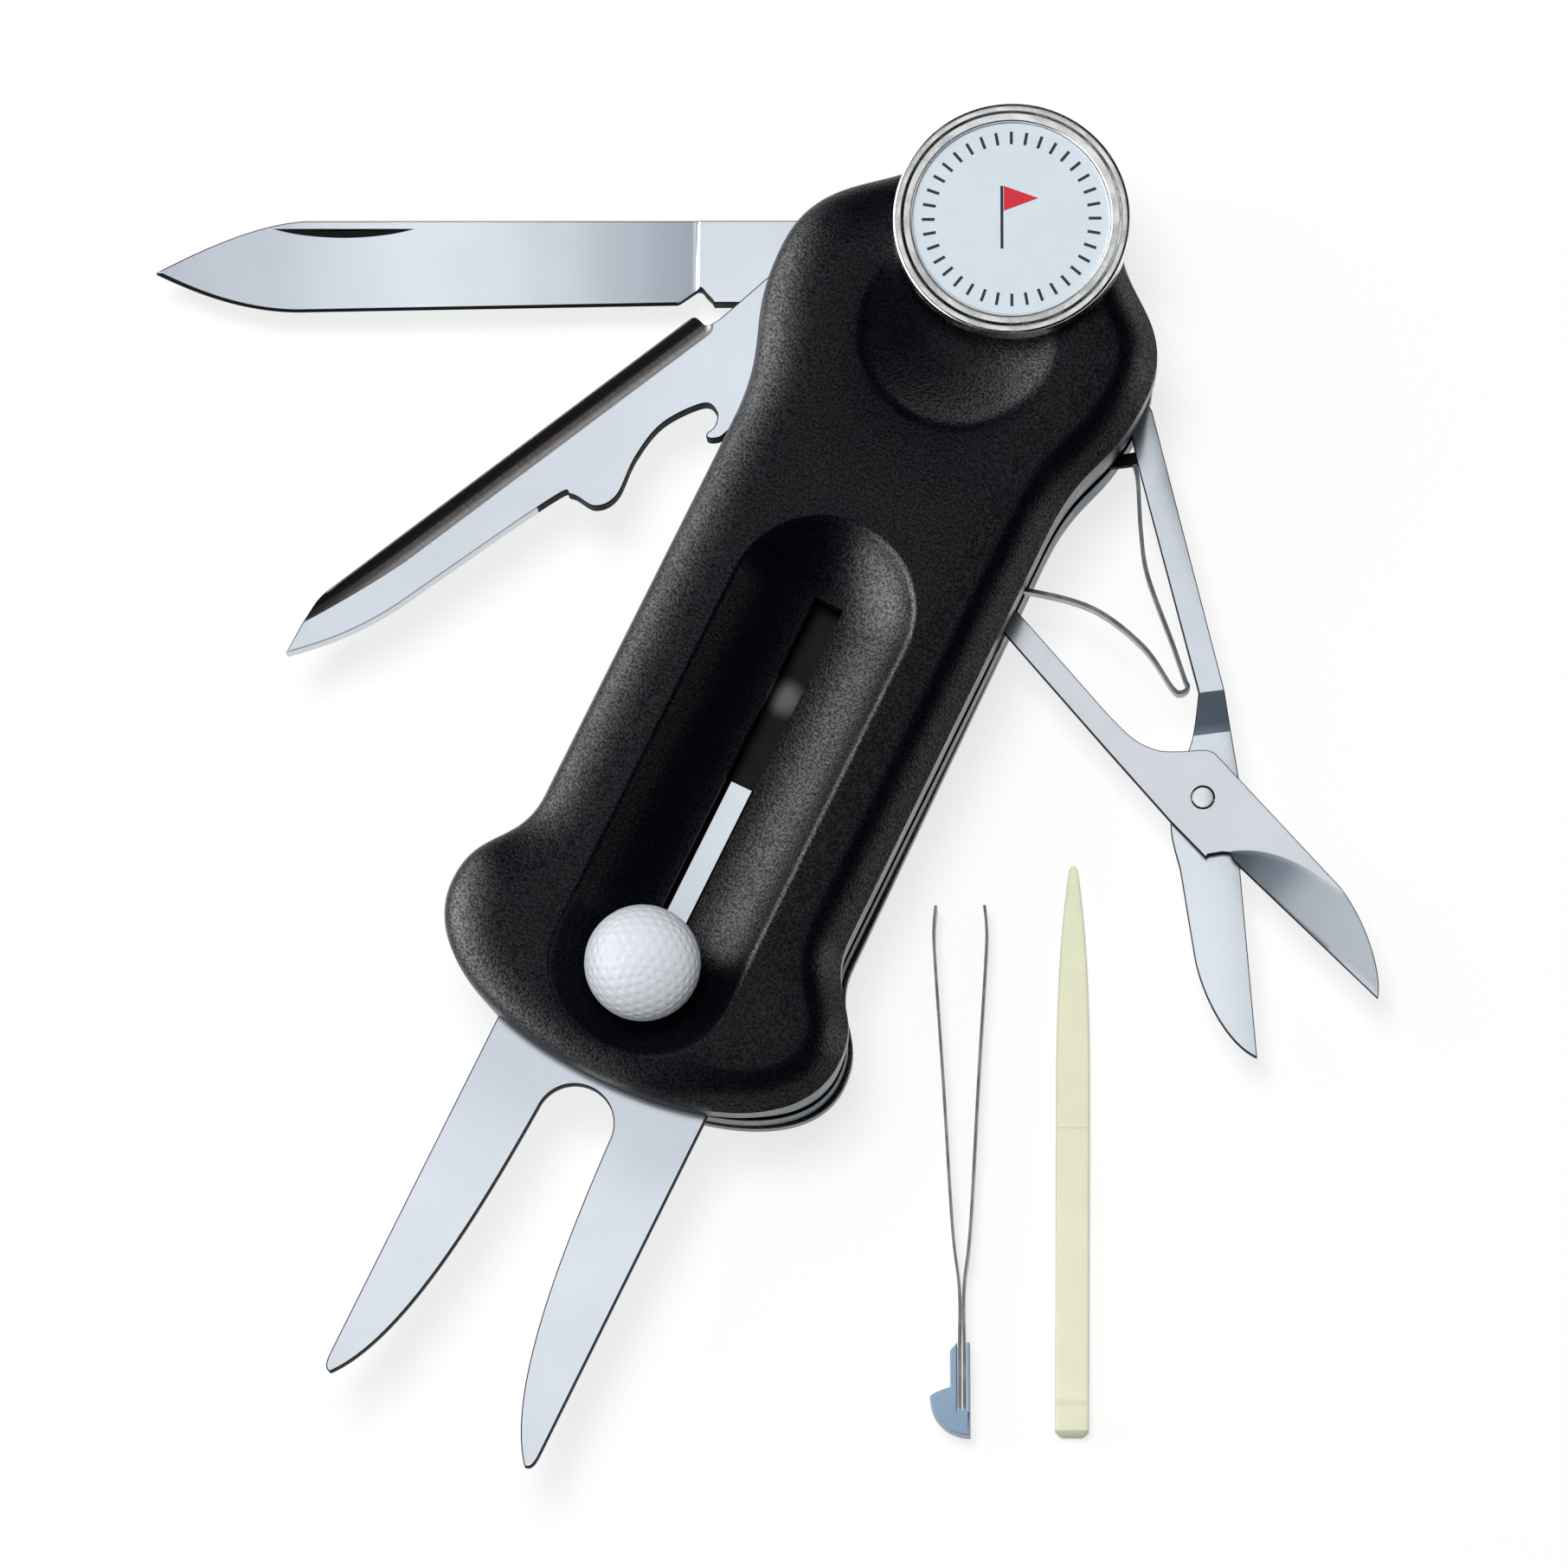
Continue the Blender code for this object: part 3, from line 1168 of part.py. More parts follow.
def main():
    """Builds every piece."""
    handle = add_empty("handle", (0.0, 0.0))
    build_front_scale(handle)
    build_back_scale(handle)
    build_liners(handle)
    build_fork_guides(handle)
    build_spacers(handle)
    build_tool_springs(handle)
    build_scissors_backspring(handle)
    build_pins(handle)
    build_magnet(handle)
    build_fork()
    build_marker()
    build_blade()
    build_opener()
    build_scissors()
    build_tweezers()
    build_toothpick()


main()
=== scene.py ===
"""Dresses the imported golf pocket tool: fine meshes on the CAD nodes, their finishes, and the studio."""

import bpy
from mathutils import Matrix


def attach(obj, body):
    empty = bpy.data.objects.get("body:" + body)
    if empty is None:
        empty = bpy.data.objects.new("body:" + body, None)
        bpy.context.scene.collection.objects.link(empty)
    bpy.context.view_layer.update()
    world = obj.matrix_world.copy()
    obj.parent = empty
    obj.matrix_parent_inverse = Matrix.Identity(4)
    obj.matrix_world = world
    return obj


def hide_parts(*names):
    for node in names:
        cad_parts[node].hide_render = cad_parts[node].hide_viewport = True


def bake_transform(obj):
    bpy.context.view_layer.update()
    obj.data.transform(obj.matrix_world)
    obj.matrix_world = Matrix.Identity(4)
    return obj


bl_info = {
    "name": "Golf pocket tool",
    "version": (1, 0, 0),
    "blender": (4, 5, 0),
    "location": "3D View > Sidebar > Golf tool",
    "description": "Builds the visible pieces of a golf pocket tool on its packed CAD model",
    "category": "Object",
}

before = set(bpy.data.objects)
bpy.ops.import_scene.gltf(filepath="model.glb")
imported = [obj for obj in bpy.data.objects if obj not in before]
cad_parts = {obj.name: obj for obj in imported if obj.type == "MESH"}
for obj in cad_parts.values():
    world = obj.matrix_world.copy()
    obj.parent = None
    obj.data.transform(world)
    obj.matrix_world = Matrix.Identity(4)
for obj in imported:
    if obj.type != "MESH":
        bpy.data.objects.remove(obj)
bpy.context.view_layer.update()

import math
from functools import cache

import bmesh
import bpy
import numpy as np
from mathutils import Matrix, Vector
from mathutils.geometry import delaunay_2d_cdt, tessellate_polygon

# Shapes are drawn in millimetres and turned into metres when a piece is placed
MM = 0.001
RUN_GAP = 0.05

# Handle outline: half widths, and stations along Y
HANDLE_BOTTOM = -45.7
LOW_FLARE = (18.2, -35.8)
LOW_CORNER_ROUND = 6.2
BOTTOM_ROUND = 10.5
WAIST_HALF = 14.35
WAIST_LOW_Y = -26.0
LEFT_SHOULDER = ((14.35, 10.0), (17.35, 26.0))
RIGHT_SHOULDER = ((14.2, 13.0), (16.65, 27.0))
BACK_SHOULDER = ((13.7, 13.0), (16.0, 27.0))
SHOULDER_ROUND = 7.2
BOSS_RADIUS = 9.5
BOSS = (0.0, 35.2)
BOSS_JOIN_ANGLE = 20.0
BOSS_JOIN_ROUND = 4.5
PLATE_INSET = 0.4
PLATE_LIFT = 0.6
BACK_LIFT = 0.9
FOOT_BEVEL = 0.2

# Slots for the loose helpers in the back scale: place across, half width, depth and length
HELPER_SLOTS = ((-6.0, 1.75, 1.7, 49.5), (6.0, 2.0, 2.1, 43.3))

# Cut-outs of the plates: the fork's bay, its lane, and where the spacers end
BAY_HALF = 10.15
BAY_END = 2.3
LANE_HALF = 1.35
SPACER_EDGE = -2.1
# Spot of the painted pale reflection on the bay's floor
BAY_GLINT = (-0.2, -9.0)

# Layers: the lowest and highest level of each
BACK_SCALE = (0.0, 4.0)
FRONT_SCALE = (13.95, 19.55)
BLADE = (4.6, 6.6)
SCISSORS = (7.2, 9.2)
OPENER = (9.8, 11.8)
FORK = (12.4, 13.9)
LINERS = {
    "liner_back": (4.05, 4.55),
    "liner_blade": (6.65, 7.15),
    "liner_scissors": (9.25, 9.75),
    "liner_fork": (11.85, 12.35),
}
FIXED_BLADE = (8.225, 9.2)
LEVER = (7.2, 9.15)
LEVER_LOW = 8.175
LEVER_CREST = 8.8
FRONT_CROWN = (6.0, 2.8)
FRONT_BEVEL = 2.5
BEVEL_SIDE = (2.0, 12.0)
BEVEL_ROUND = 1.2
FRONT_DOME = (8.0, 0.5)
BACK_CROWN = (3.2, 2.2)

# Rivets: place and radius
PIN_RADIUS = 1.25
SOCKET_DEPTH = 2.05
PINS = {
    "pivot_pin": (-11.8, 28.8, PIN_RADIUS),
    "top_pin": (3.5, 31.0, PIN_RADIUS),
    "corner_pin_left": (-12.6, -38.2, PIN_RADIUS),
    "corner_pin_front": (14.0, -38.2, PIN_RADIUS),
    "corner_pin_back": (14.0, -38.2, PIN_RADIUS),
    "scissors_pin": (10.3, 3.6, PIN_RADIUS),
    "spring_pin": (-4.0, -10.0, 0.9),
}

# Sliding fork
STEM = (0.0, -35.9)
FORK_TRAVEL = 34.0
STEM_RADIUS = 1.1
STEM_FOOT_RADIUS = 0.85
BALL_RADIUS = 4.9
BALL_HEIGHT = 20.85
BALL_FLAT = -4.4246
BALL_SOCKET = 2.45
DIMPLE_ROW = 6

# Front scale
CHANNEL_HALF = 7.9
CHANNEL_DEPTH = 3.9
SLOT_HALF = 1.35
SCOOP = (0.0, 24.8)
SCOOP_RADIUS = 8.4
SCOOP_DEPTH = 2.4
SEAT_RADIUS = 9.2
MAGNET = (0.0, 37.2)
POCKET_RADIUS = 3.25
POCKET_DEPTH = 1.6

# Ball marker
MARKER_RADIUS = 10.12
MARKER_LEVEL = (19.6, 22.0)
FACE_RADIUS = 8.45
FACE_LEVEL = 21.65
FACE_THICKNESS = 0.9
PRINT_TURN = 26.0

# Folding tools and loose helpers: places, turns and shared sizes
BLADE_PIVOT = (-11.8, 28.8)
BLADE_TURN = -64.45
BLADE_SPINE = 4.42
BLADE_BELLY = 3.57
OPENER_BACK = 4.37
OPENER_TURN = -26.6
SCISSORS_PIVOT = (10.3, 3.6)
SCISSORS_TURN = 74.0
RIVET = (2.73, -25.3)
RIVET_RADIUS = 0.92
RIVET_DOME = 0.03
LEVER_TURN = -41.0
HOLLOW_START = -30.0
SCISSORS_SHINE = (0.64, 0.668, 0.725)
HOLLOW_BORDER = 0.6
HOLLOW_SPAN = 4.1
HOLLOW_RUN = 3.4
HOLLOW_DEPTH = 0.5
HOLLOW_FADE = (0.3, 0.1)
HOLLOW_SOFT = 0.07
HAIRPIN_LEVEL = (7.5, 9.05)
HAIRPIN_THICKNESS = 0.34
HAIRPIN_BEND = ((9.5, -17.2), (30.0, -17.2))
TWEEZERS = (34.8, -47.0)
TWEEZERS_TURN = 26.1
LEAF_LEVEL = (0.0, 3.4)
LEAF_THICKNESS = 0.25
LEAF_ROOT = -10.2
LEAF_BEND = ((0.0, -4.5), (0.0, 6.0))
HEAD_LEVEL = (0.0, 3.6)
TOOTHPICK = (48.7, -54.2)
TOOTHPICK_TURN = 25.6

# Trough of the opener: across which span its painted shade and highlight run, and the tones
TROUGH_SPAN = (-4.25, -2.25)
TROUGH_TONES = (
    (0.0, (0.02, 0.02, 0.022)),
    (0.35, (0.03, 0.026, 0.026)),
    (0.6, (0.16, 0.14, 0.14)),
    (1.0, (0.7, 0.69, 0.7)),
)

# Painted reflection and shade along the polished tools: (place in mm, 0 dark to 1 bright)
FORK_TONES = ((-42.0, 0.94), (-26.0, 1.0), (-20.0, 0.95), (-12.0, 0.78), (0.0, 0.8), (20.0, 1.0))
BLADE_TONES = (
    (-62.0, 0.6), (-52.0, 0.69), (-44.0, 0.9), (-37.6, 1.0), (-32.0, 0.93), (-26.6, 0.77), (-20.0, 0.52),
    (-16.3, 0.39), (-14.4, 0.33), (-14.25, 1.0), (0.0, 1.0),
)
OPENER_TONES = ((-60.0, 0.86), (-45.0, 0.9), (-30.0, 0.92), (-14.0, 1.0), (0.0, 1.0))
# The scissors' hollow grind is painted dark towards its root: painted shade and reflection
HOLLOW_TONES = ((-47.9, 0.75), (-42.0, 0.7), (-38.0, 0.64), (-34.0, 0.2), (-30.0, 0.0))
LEVER_TONES = ((-22.7, 0.95), (-12.0, 1.0), (0.0, 0.95), (34.0, 0.92))
# The lever's ramp is painted almost black: a painted dark reflection
RAMP_TONES = ((5.0, 0.06), (10.0, 0.06))

# Camera: lens and frame width, distance scale, and the turns of the view
LENS = 200.0
SENSOR = 36.0
FRAME = 1812
PIXELS_PER_MM = 13.6
VIEW_TARGET = (3.2, -16.0, 14.2)
VIEW_TURN = 26.1
VIEW_LEAN = 10.8
VIEW_SWING = 2.1

# Studio: lamps by picture right and up, height, size (metres), power and whether metal mirrors them
LAMPS = {
    "top_softbox": (-0.08, 0.1, 0.9, 0.26, 6.9, False),
    "key_softbox": (-0.55, 0.25, 0.6, 0.5, 0.8, True),
    "side_softbox": (-0.75, 0.05, 0.3, 0.3, 0.55, True),
}
LAMP_AIM = (3.2, -16.0, 8.0)
# Bright places of the surround in gloss: their direction, where they fade in, and their dim and bright level
GLOSS = (
    ((-2.0, 9.5), (0.973, 0.989), (0.0, 1.0)),
    ((-90.0, 0.0), (0.45, 0.9), (0.003, 6.0)),
    ((90.0, 0.0), (0.95, 0.985), (0.0, 2.0)),
)
MATT_LEVEL = 0.15
FLOOR_LEVEL = -0.00005
FLOOR_HALF = 1.6
FLOOR_GREY = 0.22
FLOOR_GLOW = (0.4, 0.775)


def sized(name, description, default):
    """A length that a user may change."""
    return bpy.props.FloatProperty(name=name, description=description, default=default * MM, unit="LENGTH")


def coloured(name, description, default):
    """A colour that a user may change."""
    return bpy.props.FloatVectorProperty(
        name=name, description=description, default=default, subtype="COLOR", size=3, min=0.0, max=1.0
    )


class ToolSizes(bpy.types.PropertyGroup):
    """Fine sizes that the CAD model leaves to the dressed tool."""

    edge_round: sized("Edge rounding", "Rounding of the blanked steel edges", 0.1)
    rim_round: sized("Rim rounding", "Softness of the channel's and the scoop's rims", 0.45)
    edge_bevel: sized("Cutting bevel", "Width of the blade's honed cutting edge", 0.24)
    dimple_width: sized("Dimple width", "Width of a dimple of the golf-ball button", 0.66)
    dimple_depth: sized("Dimple depth", "Depth of a dimple of the golf-ball button", 0.06)
    print_height: sized("Print height", "Thickness of the marker's printed design", 0.02)
    tick_length: sized("Tick length", "Length of the short dashes round the marker's face", 1.1)


class ToolColours(bpy.types.PropertyGroup):
    """The finishes' main colours."""

    nylon: coloured("Nylon", "Moulded grip scales", (0.0012, 0.0014, 0.0028))
    steel: coloured("Steel", "Polished tool faces", (0.69, 0.742, 0.808))
    # Dark end of the painted reflection and shade on the polished steel
    steel_dark: coloured("Steel in painted shade", "Where the polish turns away from the light", (0.12, 0.165, 0.215))
    # Painted dark reflection on the walls of the steel plates
    edge: coloured("Blanked edge", "Walls of the steel plates", (0.01, 0.011, 0.012))
    liner: coloured("Liner steel", "Plates between the tools", (0.06, 0.083, 0.1))
    ball: coloured("Ball", "Golf-ball button", (0.68, 0.72, 0.77))
    face: coloured("Marker face", "Enamelled face of the ball marker", (0.61, 0.685, 0.75))
    ink: coloured("Ink", "Dark print on the marker's face", (0.02, 0.03, 0.045))
    pennant: coloured("Pennant", "Flag printed on the marker's face", (0.6, 0.03, 0.045))
    grey: coloured("Tweezers head", "Moulded head of the tweezers", (0.26, 0.37, 0.5))
    ivory: coloured("Toothpick", "Moulded toothpick", (0.8, 0.81, 0.6))


def size_of(name):
    """One of the user's sizes, in millimetres."""
    return getattr(bpy.context.scene.golf_tool_sizes, name) / MM


def colour_of(name):
    """One of the user's colours."""
    return tuple(getattr(bpy.context.scene.golf_tool_colours, name))


# Outlines: lists of (x, y) points

def angles(start, end, steps):
    """Even turns from one angle to another, both ends included."""
    return np.radians(np.linspace(start, end, steps + 1))


def arc(centre, radius, start, end, steps):
    """Points on a circle from one angle to another, both ends included."""
    turns = angles(start, end, steps)
    return [(centre[0] + radius * math.cos(a), centre[1] + radius * math.sin(a)) for a in turns]


def circle(centre, radius, sides=48):
    """A closed ring of points."""
    return arc(centre, radius, 0.0, 360.0, sides)[:-1]


def bezier(a, b, c, d, steps=20):
    """Points along a cubic curve, without its first end."""
    points = []
    for t in np.linspace(0.0, 1.0, steps + 1)[1:]:
        s = 1.0 - t
        weights = (s * s * s, 3 * s * s * t, 3 * s * t * t, t * t * t)
        points.append(tuple(sum(w * p[i] for w, p in zip(weights, (a, b, c, d))) for i in (0, 1)))
    return points


def s_curve(start, end, steps=20):
    """A soft step between two places, leaving and arriving along Y."""
    lead = (end[1] - start[1]) / 2
    return bezier(start, (start[0], start[1] + lead), (end[0], end[1] - lead), end, steps)


def through(points, steps=10):
    """A smooth open curve through all the points."""
    ends = [points[0]] + list(points) + [points[-1]]
    curve = [points[0]]
    for before, start, end, after in zip(ends, ends[1:], ends[2:], ends[3:]):
        lead = tuple(start[i] + (end[i] - before[i]) / 6 for i in (0, 1))
        tail = tuple(end[i] - (after[i] - start[i]) / 6 for i in (0, 1))
        curve += bezier(start, lead, tail, end, steps)
    return curve


def mirrored(half):
    """A closed outline from its right half, which runs from one end of the middle line to the other."""
    return half + [(-x, y) for x, y in reversed(half) if x > 1e-6]


def clipped(points, axis, limit, side):
    """The part of a closed outline beyond a limit on one axis, on the side of the given sign."""
    kept = []
    for here, there in zip(points, points[1:] + points[:1]):
        inside = (here[axis] - limit) * side >= 0
        if inside:
            kept.append(here)
        if inside != ((there[axis] - limit) * side >= 0):
            t = (limit - here[axis]) / (there[axis] - here[axis])
            kept.append(tuple(a + (b - a) * t for a, b in zip(here, there)))
    return kept


def handle_side(inset, steps, lift, flare):
    """One side of the handle from its foot to its top; its upper flare has a start and an end."""
    foot = (0.0, HANDLE_BOTTOM + inset + lift)
    low = (LOW_FLARE[0] - inset, LOW_FLARE[1])
    waist_low = (WAIST_HALF - inset, WAIST_LOW_Y)
    waist_high, high = ((x - inset, y) for x, y in flare)
    boss = arc(BOSS, BOSS_RADIUS - inset, BOSS_JOIN_ANGLE, 90.0, steps)
    turn = math.radians(BOSS_JOIN_ANGLE)
    join = (boss[0][0] + BOSS_JOIN_ROUND * math.sin(turn), boss[0][1] - BOSS_JOIN_ROUND * math.cos(turn))
    lead = (BOTTOM_ROUND * low[0] / LOW_FLARE[0], foot[1])
    along = (low[1] - foot[1]) / (LOW_FLARE[1] - HANDLE_BOTTOM)
    half = [foot]
    half += bezier(foot, lead, (low[0], low[1] - LOW_CORNER_ROUND * along), low, 2 * steps)
    half += s_curve(low, waist_low, steps)
    half += [tuple(p) for p in np.linspace(waist_low, waist_high, 2 * steps)[1:]]
    half += s_curve(waist_high, high, steps)
    half += bezier(high, (high[0], high[1] + SHOULDER_ROUND), join, boss[0], steps)
    return half + boss[1:-1] + [(0.0, BOSS[1] + BOSS_RADIUS - inset)]


def handle_outline(inset, steps=20, lift=0.0, flare=RIGHT_SHOULDER):
    """The handle seen from above, drawn in by an inset, with its bottom curve lifted."""
    right = handle_side(inset, steps, lift, flare)
    left = handle_side(inset, steps, lift, LEFT_SHOULDER)
    return right + [(-x, y) for x, y in reversed(left) if x > 1e-6]


def pin_holes(names):
    """Rings for the rivets that pass through a plate."""
    return [circle(PINS[name][:2], PINS[name][2] + RUN_GAP) for name in names]


# Meshes

def oriented(loop, hole):
    """A closed loop without doubled points, turned so that the material lies at its left."""
    points = np.array([p for p, q in zip(loop, loop[1:] + loop[:1]) if math.dist(p, q) > 1e-4])
    x, y = points.T
    area = np.sum(x * np.roll(y, -1) - np.roll(x, -1) * y)
    return points[::-1] if (area < 0) != hole else points


def drawn_in(points, distance):
    """A closed loop moved into the material."""
    ahead = np.roll(points, -1, 0) - points
    ahead /= np.linalg.norm(ahead, axis=1)[:, None]
    normal = np.stack((-ahead[:, 1], ahead[:, 0]), 1)
    before = np.roll(normal, 1, 0)
    reach = np.clip(1.0 + np.sum(normal * before, 1), 0.5, None)
    return points + (normal + before) / reach[:, None] * distance


def bridge(work, first, second, index, closed=True):
    """Faces between two rings of the same count."""
    count = len(first)
    for here in range(count if closed else count - 1):
        after = (here + 1) % count
        face = work.faces.new((first[here], first[after], second[after], second[here]))
        face.material_index = index


def ring_of(work, points, level):
    """New vertices round a loop at one level."""
    return [work.verts.new((x, y, level)) for x, y in points]


def fill(work, rings, index=0):
    """A flat cap: the first ring is its edge and the others are holes."""
    verts = [vert for ring in rings for vert in ring]
    flat = [[Vector((v.co.x, v.co.y, 0.0)) for v in ring] for ring in rings]
    for triangle in tessellate_polygon(flat):
        work.faces.new([verts[i] for i in triangle]).material_index = index


def plate(loops, level, rounding, margin=0.0, steps=3):
    """A plate with rounded edges: faces have the first material and walls the second."""
    bottom, top = level
    turns = angles(0.0, 90.0, steps)
    low = [(rounding * (1 - math.sin(a)), bottom + rounding * (1 - math.cos(a))) for a in turns]
    profile = low + [(inset, bottom + top - z) for inset, z in reversed(low)]
    if margin:
        profile = [(margin, bottom)] + profile + [(margin, top)]
    work = bmesh.new()
    caps = ([], [])
    for number, loop in enumerate(loops):
        edge = oriented(loop, number > 0)
        rings = [ring_of(work, drawn_in(edge, inset), z) for inset, z in profile]
        for step in range(len(rings) - 1):
            flat = margin and step in (0, len(rings) - 2)
            bridge(work, rings[step], rings[step + 1], 0 if flat else 1)
        caps[0].append(rings[0])
        caps[1].append(rings[-1])
    for rings in caps:
        fill(work, rings)
    bmesh.ops.recalc_face_normals(work, faces=work.faces)
    return work


def turned(profile, steps=96, index=0):
    """A closed solid turned about Z from (radius, height) points that run from axis to axis."""
    work = bmesh.new()
    rings = []
    for radius, height in profile:
        points = [(0.0, 0.0)] if radius < 1e-6 else circle((0.0, 0.0), radius, steps)
        rings.append(ring_of(work, points, height))
    for first, second in zip(rings, rings[1:]):
        if len(first) == len(second):
            bridge(work, first, second, index)
            continue
        tip, ring = (first[0], second) if len(first) == 1 else (second[0], first)
        for here in range(steps):
            work.faces.new((tip, ring[here], ring[(here + 1) % steps])).material_index = index
    bmesh.ops.recalc_face_normals(work, faces=work.faces)
    return work


def hull(points):
    """The convex solid around some points."""
    work = bmesh.new()
    for point in points:
        work.verts.new(point)
    shell = bmesh.ops.convex_hull(work, input=work.verts)
    loose = [v for v in shell["geom_interior"] + shell["geom_unused"] if isinstance(v, bmesh.types.BMVert)]
    bmesh.ops.delete(work, geom=list(set(loose)), context="VERTS")
    bmesh.ops.recalc_face_normals(work, faces=work.faces)
    return work


def sliced(work, axis, stations):
    """Adds cross lines to a solid at some places along an axis."""
    normal = [1.0 if i == axis else 0.0 for i in range(3)]
    for station in stations:
        geometry = list(work.verts) + list(work.edges) + list(work.faces)
        point = [n * station for n in normal]
        bmesh.ops.bisect_plane(work, geom=geometry, dist=1e-5, plane_co=point, plane_no=normal)


def reshaped(work, level, low, high):
    """Moves a plate's lower and upper face onto two height functions of x and y."""
    bottom, top = level
    for vert in work.verts:
        x, y, z = vert.co
        floor = low(x, y)
        vert.co.z = floor + (high(x, y) - floor) * (z - bottom) / (top - bottom)


def made(work, name, sharp=10.0):
    """A mesh from a working solid, smooth except along sharp edges."""
    mesh = bpy.data.meshes.new(name)
    work.normal_update()
    work.to_mesh(mesh)
    work.free()
    return smoothed(mesh, sharp)


def smoothed(mesh, sharp=10.0):
    """Smooth shading with sharp edges."""
    mesh.shade_smooth()
    mesh.set_sharp_from_angle(angle=math.radians(sharp))
    return mesh


def as_object(name, mesh):
    """A working object."""
    piece = bpy.data.objects.new(name, mesh)
    bpy.context.scene.collection.objects.link(piece)
    return piece


def evaluated(piece):
    """A plain mesh of an object with its modifiers."""
    graph = bpy.context.evaluated_depsgraph_get()
    return bpy.data.meshes.new_from_object(piece.evaluated_get(graph))


def cut(mesh, tool, operation="DIFFERENCE", sharp=10.0):
    """A mesh with another solid taken out of it."""
    piece = as_object(mesh.name + "_cut", mesh)
    cutter = as_object(mesh.name + "_cutter", made(tool, mesh.name + "_cutter"))
    boolean = piece.modifiers.new("cut", "BOOLEAN")
    boolean.operation = operation
    boolean.solver = "EXACT"
    boolean.object = cutter
    result = evaluated(piece)
    bpy.data.objects.remove(piece)
    bpy.data.objects.remove(cutter)
    return smoothed(result, sharp)


def placed(mesh, place=(0.0, 0.0, 0.0), turn=0.0):
    """Puts a mesh drawn in millimetres in its place in metres."""
    where = Matrix.Translation((place[0], place[1], place[2] if len(place) > 2 else 0.0))
    mesh.transform(Matrix.Scale(MM, 4) @ where @ Matrix.Rotation(math.radians(turn), 4, "Z"))
    return mesh


def in_place(point, place, turn, level):
    """A point drawn on a tool, where the tool lies, halfway up a layer, in metres."""
    turn = math.radians(turn)
    x = place[0] + point[0] * math.cos(turn) - point[1] * math.sin(turn)
    y = place[1] + point[0] * math.sin(turn) + point[1] * math.cos(turn)
    return (x * MM, y * MM, sum(level) / 2 * MM)


def add_piece(name, mesh, materials, body, nodes=()):
    """A finished piece on its body; a piece given two bodies and two points is left loose, with its place baked
    in.
    """
    mesh.name = name
    kinds = np.zeros(len(mesh.polygons), np.int32)
    mesh.polygons.foreach_get("material_index", kinds)
    mesh.materials.clear()
    for finish in materials:
        mesh.materials.append(finish)
    mesh.polygons.foreach_set("material_index", np.minimum(kinds, len(materials) - 1))
    piece = as_object(name, mesh)
    if isinstance(body, str):
        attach(piece, body)
    else:
        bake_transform(piece)
    if nodes:
        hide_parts(*nodes)
    return piece


def finish_node(name, material):
    """Gives a kept CAD node its finish."""
    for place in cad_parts[name].material_slots:
        place.material = material


# Nodes

def new_group(name, inputs, outputs, kind="ShaderNodeTree"):
    """An empty node group, its inputs and its end; an input is given by its default or by its kind."""
    group = bpy.data.node_groups.new(name, kind)
    for label, value in inputs.items():
        sort = value if isinstance(value, str) else "Int" if isinstance(value, int) else "Float"
        socket = group.interface.new_socket(name=label, in_out="INPUT", socket_type="NodeSocket" + sort)
        if sort != value:
            socket.default_value = value
    for label, sort in outputs.items():
        group.interface.new_socket(name=label, in_out="OUTPUT", socket_type="NodeSocket" + sort)
    return group, group.nodes.new("NodeGroupInput").outputs, group.nodes.new("NodeGroupOutput")


def feed(tree, item, values):
    """Fills a node's inputs: sockets are linked and other values are set."""
    for key, value in values.items():
        if isinstance(value, bpy.types.NodeSocket):
            tree.links.new(value, item.inputs[key])
        else:
            item.inputs[key].default_value = value
    return item


def node(tree, kind, settings=(), values=()):
    """A node with its settings and its inputs."""
    item = tree.nodes.new(kind)
    for key, value in dict(settings).items():
        setattr(item, key, value)
    return feed(tree, item, dict(values))


def math_node(tree, operation, first, second=0.0, clamp=False):
    """A Math node's output for two values or sockets."""
    settings = {"operation": operation, "use_clamp": clamp}
    return node(tree, "ShaderNodeMath", settings, {0: first, 1: second}).outputs[0]


def mix_colour(tree, factor, first, second):
    """A colour mix's output; the factor and the colours may be sockets or values."""
    first, second = (c if isinstance(c, bpy.types.NodeSocket) else (*c, 1.0) for c in (first, second))
    return node(tree, "ShaderNodeMix", {"data_type": "RGBA"}, {0: factor, 6: first, 7: second}).outputs[2]


def spread(tree, value, low, high, to_low, to_high, kind="SMOOTHSTEP"):
    """A Map Range's output."""
    values = dict(enumerate((value, low, high, to_low, to_high)))
    return node(tree, "ShaderNodeMapRange", {"interpolation_type": kind}, values).outputs[0]


def noise(tree, vector, **values):
    """A noise texture's output."""
    return node(tree, "ShaderNodeTexNoise", values={"Vector": vector, **values}).outputs["Fac"]


def mapped(tree, vector, settings=(), **values):
    """A vector that is moved, turned and scaled."""
    return node(tree, "ShaderNodeMapping", settings, {"Vector": vector, **values}).outputs["Vector"]


def tone_ramp(tree, factor, stops, kind="LINEAR"):
    """A colour ramp's output for (position, colour) stops."""
    ramp = node(tree, "ShaderNodeValToRGB", values={0: factor})
    ramp.color_ramp.interpolation = kind
    while len(ramp.color_ramp.elements) < len(stops):
        ramp.color_ramp.elements.new(0.5)
    for element, (spot, tone) in zip(ramp.color_ramp.elements, stops):
        element.position = spot
        element.color = (*tone, 1.0)
    return ramp.outputs[0]


# Shader node groups

def effect(name, control, *outputs):
    """An empty effect on a vector with one control."""
    return new_group(name, {"Vector": "Vector", **control}, dict.fromkeys(outputs, "Float"))


@cache
def grain_group():
    """Moulded grain: fine pebbles with a coarser mottle."""
    group, given, leave = effect("Moulded grain", {"Pebble": 4.6}, "Height", "Mottle")
    fine = noise(group, given["Vector"], Scale=given["Pebble"], Detail=2.0, Roughness=0.55)
    coarse = noise(group, given["Vector"], Scale=0.35, Detail=3.0, Roughness=0.6)
    feed(group, leave, {"Height": spread(group, fine, 0.3, 0.7, 0.0, 1.0), "Mottle": coarse})
    return group


